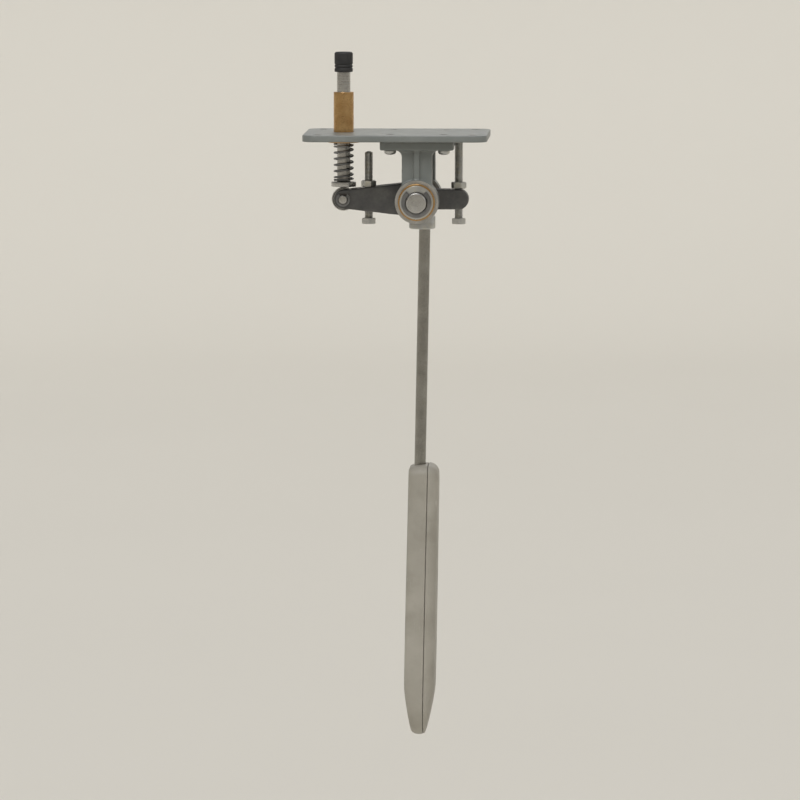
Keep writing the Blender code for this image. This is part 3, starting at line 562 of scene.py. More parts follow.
def pad_plastic():
    """Warm grey moulded plastic with a fine grain, rubbed, smudged and scratched by use."""
    look = Look("pad_plastic")
    color = look.blend(look.patches(0.030, 4.0), (0.355, 0.333, 0.285), (0.435, 0.412, 0.360))
    smudge = look.band(look.noise(0.016, 4.0, roughness=0.6), 0.46, 0.74)
    color = look.tint(color, (0.225, 0.205, 0.165), smudge, 0.35)
    rubbed = look.times(look.edges(0.0014, 0.01, 0.3), look.patches(0.006, 5.0, 0.35, 0.6))
    color = look.tint(color, (0.54, 0.52, 0.47), rubbed, 0.6)
    ways = ((1, 1, 0.04), (1, 0.05, 0.8))
    lines = [
        look.band(look.noise(0.0007, 3.0, look.stretched(way), 0.6), 0.66, 0.72) for way in ways
    ]
    scratches = look.times(look.plus(*lines), look.patches(0.022, 3.0, 0.46, 0.60))
    color = look.tint(color, (0.57, 0.55, 0.51), scratches, 0.5)
    # Dust and painted shade: crevices found by ambient occlusion are darkened, in patches.
    dust_and_shade = look.times(look.corners(0.0015, 0.25, 0.75), look.patches(0.005, 3.0, 0.3, 0.6))
    color = look.tint(color, (0.14, 0.13, 0.11), dust_and_shade, 0.6)
    rough = look.plus(look.patches(0.012, start=0.46, end=0.58), look.times(smudge, -0.10))
    sink = look.bump(look.noise(0.020, 1.0), 0.25, 0.0004)
    grain = look.bump(look.noise(0.00040, 2.0), 0.6, 0.00016, sink)
    return look.done(color, rough, look.bump(scratches, 0.4, -0.00006, grain))


def enamel():
    """Grey satin enamel with a slight orange peel, chipped on edges, with dust and painted shade in
    its corners.
    """
    look = Look("bracket_enamel")
    color = look.blend(look.patches(0.025, 4.0), (0.185, 0.200, 0.192), (0.235, 0.250, 0.240))
    # Dust and painted shade: corners found by ambient occlusion are darkened, in patches.
    dust_and_shade = look.times(look.corners(0.005), look.patches(0.006, 3.0, 0.25, 0.6))
    color = look.tint(color, (0.115, 0.108, 0.090), dust_and_shade, 0.5)
    flakes = look.band(look.noise(0.0026, 6.0, roughness=0.7), 0.50, 0.54)
    chipped = look.times(look.edges(0.0011, 0.015, 0.09), flakes)
    color = look.blend(chipped, color, (0.105, 0.085, 0.068))
    rough = look.plus(look.patches(0.009, start=0.32, end=0.44), look.times(chipped, 0.08))
    peel = look.bump(look.noise(0.0013, 2.0), 0.30, 0.00010)
    bare = look.times(chipped, 0.6)
    return look.done(color, rough, look.bump(chipped, 0.5, -0.00010, peel), Metallic=bare)


def iron():
    """Sand-cast iron, blackened, with brighter rubbed edges."""
    look = Look("black_casting", 0.75)
    color = look.blend(look.patches(0.012, 5.0), (0.10, 0.10, 0.10), (0.17, 0.168, 0.162))
    rubbed = look.times(look.edges(0.0007, 0.02, 0.2), look.patches(0.003, 5.0, 0.35, 0.6))
    color = look.tint(color, (0.38, 0.37, 0.35), rubbed, 0.8)
    rust = look.times(look.corners(0.004), look.patches(0.0045, 5.0, 0.5, 0.7))
    color = look.tint(color, (0.14, 0.075, 0.04), rust, 0.6)
    sand = look.bump(look.noise(0.0011, 4.0, roughness=0.7), 0.55, 0.00022)
    pits = look.bump(look.cells(0.0022), 0.25, 0.00020, sand)
    return look.done(color, look.patches(0.002, start=0.48, end=0.66), pits)


def metal(name, dark, light, rough, marks, mark_depth, spots=None, spot_share=0.0):
    """A metal with tool marks, which are 'rings' or stretched along each axis by marks."""
    look = Look(name, 1.0)
    vector = look.ringed() if marks == "rings" else look.stretched(marks)
    lines = look.noise(0.00035, 4.0, vector, 0.65)
    tone = look.patches(0.007, 5.0)
    color = look.blend(tone, dark, light)
    if spots:
        cover = look.band(look.noise(0.0035, 6.0, roughness=0.65), 0.50, 0.66)
        color = look.tint(color, spots, cover, spot_share)
    # Grime and painted shade: crevices found by ambient occlusion are darkened, in patches.
    grime_and_shade = look.times(look.corners(0.002, 0.3, 0.8), look.patches(0.003, 3.0, 0.3, 0.6))
    color = look.tint(color, (0.07, 0.06, 0.045), grime_and_shade, 0.5)
    worn = look.plus(look.band(lines, 0.3, 0.7, *rough), look.band(tone, 0.0, 1.0, 0.0, 0.05))
    fine = look.bump(look.noise(0.0016, 3.0), 0.08, 0.00005)
    return look.done(color, worn, look.bump(lines, mark_depth, 0.00004, fine))


def bronze():
    """Oiled bearing bronze, with the dark pores of a sintered bush."""
    look = Look("bush_bronze", 1.0)
    color = look.blend(look.patches(0.006, 4.0), (0.46, 0.27, 0.11), (0.60, 0.39, 0.18))
    pores = look.patches(0.00045, 2.0, 0.60, 0.68)
    color = look.tint(color, (0.10, 0.06, 0.03), pores, 0.7)
    # Painted shade: crevices found by ambient occlusion are darkened.
    color = look.tint(color, (0.14, 0.08, 0.035), look.corners(0.003), 0.7)
    rings = look.bump(look.noise(0.0004, 3.0, look.ringed()), 0.25, 0.00005)
    rough = look.patches(0.004, start=0.24, end=0.42)
    return look.done(color, rough, look.bump(pores, 0.3, -0.00005, rings))


def nylon():
    look = Look("washer_nylon")
    color = look.blend(look.patches(0.004), (0.72, 0.70, 0.62), (0.80, 0.785, 0.72))
    # Painted shade: crevices found by ambient occlusion are darkened.
    color = look.tint(color, (0.22, 0.18, 0.12), look.corners(0.0015), 0.5)
    relief = look.bump(look.noise(0.0006, 2.0), 0.2, 0.00005)
    return look.done(color, 0.42, relief, **{"Subsurface Weight": 0.15})


def rubber():
    """Black moulded rubber with a dry bloom."""
    look = Look("cap_rubber")
    bloom = look.patches(0.004, 5.0, 0.42, 0.7)
    color = look.tint((0.018, 0.018, 0.019), (0.055, 0.053, 0.050), bloom, 0.5)
    color = look.tint(color, (0.09, 0.087, 0.083), look.edges(0.0008, 0.02, 0.3), 0.4)
    relief = look.bump(look.noise(0.0005, 3.0), 0.35, 0.00008)
    return look.done(color, look.band(bloom, 0.0, 1.0, 0.55, 0.80), relief)


def make_looks():
    steel = ((0.42, 0.41, 0.39), (0.56, 0.55, 0.53))
    plated = ((0.26, 0.25, 0.225), (0.36, 0.35, 0.32))
    zinc = ((0.47, 0.47, 0.455), (0.62, 0.62, 0.60))
    wire = ((0.17, 0.17, 0.175), (0.27, 0.27, 0.27))
    dull, passivated = ((0.20, 0.18, 0.15), 0.35), ((0.58, 0.53, 0.38), 0.5)
    return {
        "pad": pad_plastic(),
        "enamel": enamel(),
        "iron": iron(),
        "machined": metal("machined_face", *steel, (0.20, 0.38), (1.0, 1.0, 8.0), 0.35),
        "steel": metal("turned_steel", *steel, (0.16, 0.34), "rings", 0.40),
        "rod": metal("plated_rod", *plated, (0.18, 0.34), (9.0, 9.0, 0.25), 0.18, *dull),
        "zinc": metal("zinc_plate", *zinc, (0.24, 0.40), "rings", 0.15, *passivated),
        "wire": metal("spring_wire", *wire, (0.22, 0.36), (1.0, 1.0, 1.0), 0.2),
        "bronze": bronze(),
        "nylon": nylon(),
        "rubber": rubber(),
    }


# ---- fasteners ----


def thread(low, high):
    """A form for turned(): an M5 thread cut between two heights, fading out at its ends."""

    def form(angle, radius, height):
        phase = (height / M5_PITCH - angle / (2 * pi)) % 1.0
        cut = min(1.0, max(0.0, 1.6 - 3.2 * abs(phase - 0.5)))
        fade = min(1.0, max(0.0, (height - low) / M5_PITCH), max(0.0, (high - height) / M5_PITCH))
        return radius - M5_DEPTH * (1 - cut) * fade, height

    return form


def threaded(low, high):
    """The profile of an M5 thread, with eight rings to each turn, without its upper end."""
    return stepped((M5_R, low), (M5_R, high), round((high - low) / M5_PITCH * 8))


def shank(low, high, nose_r):
    """A threaded shank from its head to a tapered point with a small flat nose."""
    shoulder = high - nose_r
    profile = [(0.0, low)] + threaded(low, shoulder)
    profile += rounded([(M5_R, shoulder), (nose_r, high), (0.0, high)], 0.0004)
    return turned(profile, 32, thread(low + M5_PITCH, shoulder + 0.5 * M5_PITCH))


def hexagon(low, high, both_ends):
    """A form for turned(): a hexagon, its corners turned off at 30 degrees at one end or both."""

    def form(angle, radius, height):
        turn = (angle + pi / 6) % (pi / 3) - pi / 6
        r = min(radius, NUT_FLATS / 2 / cos(turn))
        drop = max(0.0, r - HEX_FACE_R) * tan(radians(30))
        z = max(height, low + drop)
        return r, min(z, high - drop) if both_ends else z

    return form


def hex_head_screw(head_h, length, look):
    """A hexagon screw whose head hangs below its seat at height 0."""
    washer_h = 0.0003
    profile = [(0.0, -head_h), (HEX_FACE_R, -head_h), (HEX_CORNER_R, -head_h)]
    profile += [(HEX_CORNER_R, -washer_h), (HEX_FACE_R, -washer_h), (HEX_FACE_R, 0.0), (0.0, 0.0)]
    head = turned(profile, SIDES, hexagon(-head_h, 0.0, False))
    return solid(merged([head, shank(-head_h / 2, length, 0.0008)]), look)


def hex_nut(height, look):
    hole_r, lead_in = M5_R + GAP, 0.0004
    profile = [(hole_r, lead_in), (hole_r + lead_in, 0.0), (HEX_FACE_R, 0.0), (HEX_CORNER_R, 0.0)]
    profile += [(HEX_CORNER_R, height), (HEX_FACE_R, height)]
    profile += [(hole_r + lead_in, height), (hole_r, height - lead_in)]
    return solid(turned(profile, SIDES, hexagon(0.0, height, True)), look)


def cross_recess(radius, low, depth):
    """A cutter for a cross recess, narrower at its bottom."""
    arm = radius * 0.17
    reach = radius * 0.60
    outline = []
    for quarter in range(4):
        turn = Matrix.Rotation(pi / 2 * quarter, 2)
        corners = (Vector((reach, -arm)), Vector((reach, arm)), Vector((arm, arm)))
        outline += [tuple(turn @ corner) for corner in corners]
    shape = slab(outline, low - 0.001, low + depth)
    shape.verts.ensure_lookup_table()
    for vertex in shape.verts:
        if vertex.co.z > low:
            vertex.co.x *= 0.55
            vertex.co.y *= 0.55
    return shape


def pan_screw(head_r, head_h, shank_r, length, look):
    """A cross-head pan screw whose head hangs below its seat at height 0."""
    dome_h = head_h * 0.62
    dome = [(head_r * sin(t), -head_h + dome_h * (1 - cos(t))) for t in quarter_turn(10)]
    tip, edge = shank_r * 0.4, 0.00015
    profile = [(0.0, -head_h)] + dome[1:] + [(head_r, -edge), (head_r - edge, 0.0), (shank_r, 0.0)]
    profile += [(shank_r, length - tip), (shank_r - tip, length), (0.0, length)]
    screw = solid(turned(profile, 48), look)
    return carve(screw, cross_recess(head_r, -head_h, head_h * 0.7))


def clip(groove_r, outer_r, thickness, look):
    """A C-shaped retaining clip that grips a groove on three lugs."""
    relief = groove_r + 0.35 * (outer_r - groove_r)
    outline = arc((0.0, 0.0), outer_r, -50, 230, 72)
    for start, end, radius in (
        (230, 212, groove_r),
        (205, 110, relief),
        (104, 76, groove_r),
        (70, -25, relief),
        (-32, -50, groove_r),
    ):
        outline += arc((0.0, 0.0), radius, start, end, 16)
    return bevel(solid(slab(outline, 0.0, thickness), look), thickness * 0.15, 2, 50)


# ---- bracket ----


def mounting_plate(looks):
    low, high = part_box("mounting_plate")
    inset = PLATE_CORNER_R
    outline = []
    for x, y, start in (
        (high.x - inset, high.y - inset, 0),
        (low.x + inset, high.y - inset, 90),
        (low.x + inset, low.y + inset, 180),
        (high.x - inset, low.y + inset, 270),
    ):
        outline += arc((x, y), inset, start, start + 90, 20)
    plate = bevel(solid(slab(outline, -PLATE_T, 0.0), looks["enamel"]), 0.0006, 3)
    edge = TABLE_SCREW_INSET
    sink = COUNTERSINK_R - TABLE_SCREW_R - PLATE_T
    for x in (low.x + edge, high.x - edge):
        for y in (low.y + edge, high.y - edge):
            profile = [(0.0, -0.01), (COUNTERSINK_R, -0.01), (COUNTERSINK_R, -PLATE_T)]
            profile += [(TABLE_SCREW_R, sink), (TABLE_SCREW_R, 0.01), (0.0, 0.01)]
            machine(plate, looks, moved(turned(profile, 48), (x, y, 0.0)))
    for x, y in hanger_screw_places():
        machine(plate, looks, moved(cylinder(M4_R + GAP, -0.01, 0.01, 48), (x, y, 0.0)))
    machine(plate, looks, moved(cylinder(SLEEVE_R + GAP, -0.01, 0.01), (ROLLER_AXIS.x, 0.0, 0.0)))
    piece(plate, "mounting_plate")


def hanger_screw_places():
    return [(x, y) for y in (-HANGER_Y, HANGER_Y) for x in (-HANGER_SCREW_X, HANGER_SCREW_X)]


def hanger_mesh(looks):
    """A bearing hanger, cast in one. Its own Z is the pivot axis, and its Y is up."""
    foot_x, foot_y, foot_t = HANGER_FOOT
    waist_x, waist_y = HANGER_WAIST
    boss_r, boss_half = HANGER_BOSS
    top = -PIVOT.z - PLATE_T - GAP
    under = top - foot_t
    spare, sunk, flare_r, rib_x, rib_z, far = 0.0008, 0.001, 0.004, 0.0018, 0.0070, 0.03
    side = arc((waist_x + flare_r, under - flare_r), flare_r, 180, 90, 10)
    right = [(waist_x, 0.0)] + side + [(waist_x + flare_r, under + sunk)]
    waist = right + [(-x, y) for x, y in reversed(right)]
    foot = [(foot_x, -foot_y), (foot_x, foot_y), (-foot_x, foot_y), (-foot_x, -foot_y)]
    foot = slab(rounded(foot, 0.0025, closed=True, steps=8), 0.0, foot_t + spare)
    rib = [(-rib_x, 0.0), (rib_x, 0.0), (rib_x, under + sunk), (-rib_x, under + sunk)]
    shapes = [
        slab(waist, -waist_y, waist_y),
        moved(foot, (0.0, under, 0.0), "+Y"),
        cylinder(boss_r, -boss_half - spare, boss_half + spare),
        slab(rib, -rib_z, rib_z),
    ]
    hanger = cast(shapes, looks["enamel"])
    machine(
        hanger,
        looks,
        block((-far, top, -far), (far, top + far, far)),
        block((-far, -far, boss_half), (far, 0.016, far)),
        block((-far, -far, -far), (far, 0.016, -boss_half)),
        cylinder(BUSH_R + GAP, -far, far),
    )
    for x in (-HANGER_SCREW_X, HANGER_SCREW_X):
        machine(hanger, looks, moved(cylinder(M4_R + GAP, -0.02, 0.02, 48), (x, under, 0.0), "-Y"))
    roughen(hanger)
    return hanger


def hangers(looks):
    front = hanger_mesh(looks)
    rear = front.copy()
    bpy.context.scene.collection.objects.link(rear)
    piece(front, "front_hanger", (0.0, -HANGER_Y, PIVOT.z), "-Y")
    piece(rear, "rear_hanger", (0.0, HANGER_Y, PIVOT.z), "-Y")
    low, high, head_r = extent("hanger_screw_1")
    seat = low.z + HANGER_SCREW_HEAD_H
    for n, (x, y) in enumerate(hanger_screw_places(), 1):
        screw = pan_screw(head_r, HANGER_SCREW_HEAD_H, M4_R, high.z - seat, looks["zinc"])
        screw.data.transform(Matrix.Rotation(0.7 * n, 4, "Z"))
        piece(screw, f"hanger_screw_{n}", (x, y, seat))


def bushes(looks):
    for node, side in (("front_bush", -1), ("rear_bush", 1)):
        low, high, flange_r = extent(node)
        outer = HANGER_BOSS[1]
        face = max(abs(low.y), abs(high.y)) - HANGER_Y
        profile = bar(-outer, (BUSH_R, outer + GAP), (flange_r, face), inner=SHAFT_R + GAP)
        bush = spun(profile, 0.0003, looks["bronze"], closed=True)
        piece(bush, node, (0.0, side * HANGER_Y, PIVOT.z), "+Y" if side > 0 else "-Y")


def guide_sleeve(looks):
    low, high, flange_r = extent("guide_sleeve")
    seat = low.z + SLEEVE_FLANGE_T
    profile = bar(low.z, (flange_r, seat), (SLEEVE_R, high.z), inner=LIFT_ROD_R + GAP)
    sleeve = spun(profile, 0.0004, looks["bronze"], closed=True)
    piece(sleeve, "guide_sleeve", (ROLLER_AXIS.x, 0.0, 0.0))


def return_spring(looks):
    """The coil round the lift rod, at one length: nothing here shortens it as the rod goes up."""
    low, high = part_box("return_spring")
    bottom, top = low.z + WIRE_R, high.z - WIRE_R
    closed_rise = 2 * WIRE_R + GAP
    per_turn = 40
    count = round(SPRING_TURNS * per_turn)
    path = []
    for k in range(count + 1):
        turn = k / per_turn
        from_end = min(turn, SPRING_TURNS - turn)
        share = (turn - 1) / (SPRING_TURNS - 2)
        z = bottom + closed_rise + (top - bottom - 2 * closed_rise) * share
        if from_end < 1:
            z = bottom + closed_rise * turn if turn < 1 else top - closed_rise * from_end
        angle = 2 * pi * turn
        path.append((SPRING_R * cos(angle), SPRING_R * sin(angle), z))
    obj = solid(swept(path, WIRE_R, 12, 0.00015), looks["wire"])
    piece(obj, "return_spring", (ROLLER_AXIS.x, 0.0, 0.0))
    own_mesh(obj)


# ---- rocker ----


def rocker_shaft(looks):
    """The shaft and its socket head. Its own Z is +Y."""
    _, high, head_r = extent("rocker_shaft")
    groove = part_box("rear_washer")[1].y + GAP
    groove_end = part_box("shaft_clip")[1].y + GAP
    socket_r, lead_in = ROD_R + GAP, 0.0007
    bottom = HEAD_MOUTH_Y + SOCKET_DEPTH
    journal = (SHAFT_R, groove), (CLIP_GROOVE_R, groove_end), (SHAFT_R, high.y)
    outside = bar(HEAD_MOUTH_Y, (head_r, HEAD_BACK_Y), *journal)
    socket = [(0.0, bottom), (socket_r, bottom), (socket_r, HEAD_MOUTH_Y + lead_in)]
    socket.append((socket_r + lead_in, HEAD_MOUTH_Y))
    shaft = spun(socket + outside[1:], 0.0008, looks["steel"])
    half, depth = PIN_SLOT
    slot = block((-0.02, -half, HEAD_MOUTH_Y - 0.01), (0.02, half, HEAD_MOUTH_Y + depth))
    hole = moved(cylinder(M5_R + GAP, 0.0, 0.02, 48), (0.0, 0.0, THUMB_AXIS.y), "+Y")
    machine(shaft, looks, slot, hole)
    bevel(shaft, 0.00025, 2, 50)
    piece(shaft, "rocker_shaft", (0.0, 0.0, PIVOT.z), "+Y")


def washers_and_clip(looks):
    for node, along, look in (("thrust_washer", "-Y", "nylon"), ("rear_washer", "+Y", "zinc")):
        low, high, outer_r = extent(node)
        profile = bar(0.0, (outer_r, high.y - low.y), inner=SHAFT_R + GAP)
        washer = spun(profile, 0.0002, looks[look], closed=True)
        piece(washer, node, (0.0, high.y if along == "-Y" else low.y, PIVOT.z), along)
    low, high, outer_r = extent("shaft_clip")
    ring = clip(CLIP_GROOVE_R + GAP, outer_r, high.y - low.y, looks["wire"])
    piece(ring, "shaft_clip", (0.0, low.y, PIVOT.z), "+Y")


def lift_arm(looks):
    """The forked arm and its tail, cast in one and machined on its faces. Its own Y is up."""
    hub_r, hub_half = HUB
    tail_z, tail_half = TAIL_HALF
    reach = ROLLER_AXIS.x
    spare, sink, far = 0.0008, 0.0001, 0.06
    tail = arc((REST_STOP_X, 0.0), tail_z, 90, 270, 24) + [(0.0, -tail_z), (0.0, tail_z)]
    shapes = [
        cylinder(hub_r, -hub_half - spare, hub_half + spare),
        slab(belt(hub_r - 0.001, reach, ARM_TIP_R), -ARM_HALF_WIDTH, ARM_HALF_WIDTH),
        slab(tail, -tail_half, tail_half),
    ]
    arm = cast(shapes, looks["iron"])
    machine(
        arm,
        looks,
        cylinder(hub_r + 0.003, hub_half, far),
        cylinder(hub_r + 0.003, -far, -hub_half),
        cylinder(SHAFT_R + GAP, -far, far),
        block((FORK_START_X, -far, -FORK_HALF_GAP), (far, far, FORK_HALF_GAP)),
        moved(cylinder(ROLLER_PIN_R + GAP, -far, far, 48), (reach, 0.0, 0.0)),
    )
    for x, seat in ((REST_STOP_X, tail_z - sink), (LIFT_STOP_X, LIFT_SEAT - sink)):
        profile = bar(-far, (M5_R + GAP, seat), (NUT_FLATS * 0.68, far))
        machine(arm, looks, moved(turned(profile, 64), (x, 0.0, 0.0), "+Y"))
    machine(arm, looks, moved(cylinder(M5_R + GAP, 0.0, far, 48), along="-Y"))
    roughen(arm)
    piece(arm, "lift_arm", (0.0, 0.0, PIVOT.z), "-Y", smooth=40)


def set_screw(looks):
    """The arm's set screw, with a hexagon socket in its outer end."""
    low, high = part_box("arm_set_screw")
    near, end, edge = PIVOT.z - high.z, PIVOT.z - low.z, 0.0003
    rings = round((end - near) / M5_PITCH * 8)
    profile = [(0.0, near)] + stepped((M5_R, near), (M5_R, end - edge), rings)
    profile += [(M5_R, end - edge), (M5_R - edge, end), (0.0, end)]
    screw = solid(turned(profile, 32, thread(near, end)), looks["zinc"])
    socket = slab(arc((0.0, 0.0), 0.00144, 0, 300, 5), end - 0.002, end + 0.001)
    carve(screw, socket)
    piece(screw, "arm_set_screw", (0.0, 0.0, PIVOT.z), "-Z")


def stops(looks):
    for name, x in (("rest_stop", REST_STOP_X), ("lift_stop", LIFT_STOP_X)):
        low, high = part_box(name + "_screw")
        seat = low.z + STOP_HEAD_H
        screw = hex_head_screw(STOP_HEAD_H, high.z - seat, looks["zinc"])
        piece(screw, name + "_screw", (x, 0.0, seat))
        low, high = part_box(name + "_nut")
        nut = hex_nut(high.z - low.z, looks["zinc"])
        nut.data.transform(Matrix.Rotation(0.35, 4, "Z"))
        piece(nut, name + "_nut", (x, 0.0, low.z))


def roller_group(looks):
    pin_low, pin_high, head_r = extent("roller_pin")
    clip_low, clip_high, clip_r = extent("roller_clip")
    profile = bar(
        pin_low.y,
        (head_r, pin_low.y + ROLLER_PIN_HEAD_H),
        (ROLLER_PIN_R, ARM_HALF_WIDTH + GAP),
        (PIN_GROOVE_R, clip_high.y + GAP),
        (ROLLER_PIN_R, pin_high.y),
    )
    pin = spun(profile, 0.0005, looks["steel"], sides=64)
    piece(pin, "roller_pin", (ROLLER_AXIS.x, 0.0, PIVOT.z), "+Y")
    ring = clip(PIN_GROOVE_R + GAP, clip_r, clip_high.y - clip_low.y, looks["wire"])
    piece(ring, "roller_clip", (ROLLER_AXIS.x, clip_low.y, PIVOT.z), "+Y")
    low, high, radius = extent("lift_roller")
    half = (high.y - low.y) / 2
    sunk = 0.0003 - half
    profile = [(ROLLER_PIN_R + GAP, -half), (radius * 0.6, -half), (radius * 0.65, sunk)]
    profile += [(radius * 0.88, sunk), (radius * 0.9, -half), (radius, -half)]
    profile += [(r, -z) for r, z in reversed(profile)]
    roller = spun(profile, 0.0005, looks["steel"], closed=True)
    piece(roller, "lift_roller", (ROLLER_AXIS.x, 0.0, PIVOT.z), "+Y")


def lift_rod(looks):
    low, high, foot_r = extent("lift_rod")
    profile = bar(low.z, (foot_r, low.z + LIFT_ROD_FOOT_H), (LIFT_ROD_R, high.z))
    piece(spun(profile, 0.0006, looks["steel"]), "lift_rod", (ROLLER_AXIS.x, 0.0, 0.0))
    end, inner_r, groove, edge = high.z + GAP, LIFT_ROD_R + GAP, 0.0004, 0.0008
    low, high, cap_r = extent("lift_rod_cap")
    profile = [(0.0, end), (inner_r, end), (inner_r, low.z), (cap_r, low.z)]
    for z in (low.z + 0.0020, low.z + 0.0038):
        for sunk, up in ((0.0, 0.0), (groove, 0.0003), (groove, 0.0008), (0.0, 0.0011)):
            profile.append((cap_r - sunk, z + up))
    profile += [(cap_r, high.z - edge), (cap_r - edge, high.z), (0.0, high.z)]
    piece(spun(profile, 0.0009, looks["rubber"]), "lift_rod_cap", (ROLLER_AXIS.x, 0.0, 0.0))


def thumb_screw(looks):
    """The clamping screw with its diamond-knurled knob. Its own Z points down."""
    low, high, knob_r = extent("thumb_screw")
    tip, end = PIVOT.z - high.z, PIVOT.z - low.z
    collar_r, collar_h, knob_h, recess_r, recess_h = 0.005, 0.0015, 0.0085, 0.0046, 0.0006
    teeth, knurl_pitch, knurl_depth, edge = 40, 0.0012, 0.00035, 0.0008
    knob = end - knob_h
    base = knob - collar_h

    def knurl(angle, radius, height):
        if radius < knob_r - 0.00001:
            return radius, height
        around = angle / (2 * pi) * teeth
        along = (height - knob) / knurl_pitch
        left, right = (abs((around + way * along) % 1.0 - 0.5) * 2 for way in (1, -1))
        return radius - knurl_depth * max(left, right) ** 2, height

    sunk = base - 0.0005
    profile = [(0.0, sunk), (collar_r, sunk), (collar_r, knob), (knob_r - edge, knob)]
    profile = rounded(profile + [(knob_r - edge / 4, knob + edge * 0.75)], 0.0004)
    profile += stepped((knob_r, knob + edge), (knob_r, end - edge), 48) + [(knob_r, end - edge)]
    rim = [(knob_r - edge / 4, end - edge * 0.75), (knob_r - edge, end), (0.0052, end)]
    profile += rounded(rim, 0.0004)
    profile += rounded([(collar_r, end), (recess_r, end - recess_h), (0.0, end - recess_h)], 0.0002)
    body = turned(profile, teeth * 8, knurl)
    point = 0.0005
    bolt = [(0.0, tip), (M5_R - point, tip), *threaded(tip + point, base)]
    bolt = turned(bolt + [(M5_R, base), (0.0, base)], 32, thread(tip, base + M5_PITCH))
    screw = solid(merged([body, bolt]), looks["zinc"])
    piece(screw, "thumb_screw", (0.0, THUMB_AXIS.y, PIVOT.z), "-Z")


# ---- lever ----


def at_pad(y, down):
    return (0.0, ROD_DROP_Y + y, PAD_TOP - down)


def at_screws(shell, screws, profile, sides, operation="DIFFERENCE"):
    """Carves the same turned shape at each screw, with its Z pointing away from the knee."""
    for y, down in screws:
        carve(shell, moved(turned(profile, sides), at_pad(y, down), "+X"), operation)


def lever_rod(looks):
    """One bent bar: along Y in the socket, down in front of it, and into the pad."""
    start = (0.0, HEAD_MOUTH_Y + SOCKET_DEPTH - 0.001, 0.0)
    centre = (ROD_DROP_Y + ROD_BEND_R, -ROD_BEND_R)
    bend = [(0.0, y, z) for y, z in arc(centre, ROD_BEND_R, 90, 180, 32)]
    rod = solid(swept([start, *bend, at_pad(0.0, ROD_IN_PAD)], ROD_R, 64, 0.0008), looks["rod"])
    for radius, place, along in (
        (DRIVE_PIN[0], (0.0, DRIVE_PIN_Y, 0.0), "+X"),
        (LOCATING_PIN[0], at_pad(0.0, LOCATING_PIN_DOWN), "+Y"),
    ):
        carve(rod, moved(cylinder(radius + GAP, -0.01, 0.01, 32), place, along))
    piece(rod, "lever_rod", base=LEVER_FRAME)


def lever_pins(looks):
    for node, (radius, half), place, along in (
        ("drive_pin", DRIVE_PIN, (0.0, DRIVE_PIN_Y, 0.0), "+X"),
        ("locating_pin", LOCATING_PIN, at_pad(0.0, LOCATING_PIN_DOWN), "+Y"),
    ):
        pin = spun(bar(-half, (radius, half)), 0.0005, looks["steel"], sides=48)
        piece(pin, node, place, along, LEVER_FRAME)


def half_breadth(up):
    """The pad's half breadth at a height above its tip, short of the top corners."""
    if up < PAD_END_LENGTH:
        return PAD_HALF_BREADTH * sqrt(max(0.0, 1 - (1 - up / PAD_END_LENGTH) ** 2))
    straight = 0.45 * PAD_LENGTH
    share = max(0.0, (up - straight) / (PAD_LENGTH - straight))
    smooth = share * share * (3 - 2 * share)
    return PAD_HALF_BREADTH + (PAD_TOP_HALF_BREADTH - PAD_HALF_BREADTH) * smooth


def pad_outline():
    """(y, height above the tip) round the pad, from the tip up one side and down the other."""
    rises = [PAD_END_LENGTH * (1 - cos(t)) for t in quarter_turn(24)]
    corner = PAD_TOP_CORNER_R
    reach = PAD_LENGTH - corner - PAD_END_LENGTH
    rises += [PAD_END_LENGTH + reach * k / 40 for k in range(1, 41)]
    side = [(half_breadth(up), up) for up in rises]
    corner_y = side[-1][0] - corner
    side += arc((corner_y, PAD_LENGTH - corner), corner, 7.5, 90, 11)
    side += [(corner_y * (1 - k / 8), PAD_LENGTH) for k in range(1, 8)]
    top = [(0.0, PAD_LENGTH)]
    return side + top + [(-y, up) for y, up in reversed(side[1:])]


def depth_at(up, side):
    """A shell's depth from the parting plane, by height above the tip. The taper sets in gently."""
    depth = PAD_BACK_X - PAD_PARTING_X if side > 0 else PAD_PARTING_X - PAD_KNEE_X
    drop = PAD_BACK_TIP_DROP if side > 0 else PAD_KNEE_TIP_DROP
    share = 1 - up / PAD_TAPER_LENGTH
    taper = drop * (share + hypot(share, PAD_TAPER_BLEND)) / 2
    return depth - taper - PAD_TOP_THINNING * up / PAD_LENGTH


def slant_at(up, x):
    """How far the round end is lifted, which is more towards the knee and nothing above the end."""
    return PAD_TIP_SLANT * max(0.0, 1 - up / PAD_END_LENGTH) ** 2 * x / (PAD_KNEE_X - PAD_BACK_X)


def pad_rings(rounding, inset, steps, crown):
    """For each ring of one face of a shell: how far in from the outline it lies, its further share
    of the way to the middle, its share of the full depth, and the depth it starts from."""
    rim = GAP / 2
    start = rim if inset else rim + PAD_RIM_BEVEL
    rings = [] if inset else [(PAD_RIM_BEVEL, 0.0, 0.0, rim)]
    for t in quarter_turn(steps):
        rings.append((inset + rounding * (1 - cos(t)), 0.0, sin(t), start))
    shares = (0.2, 0.4, 0.6, 0.8, 0.94) if crown else (0.94,)
    return rings + [(inset + rounding, share, 1.0, start) for share in shares]


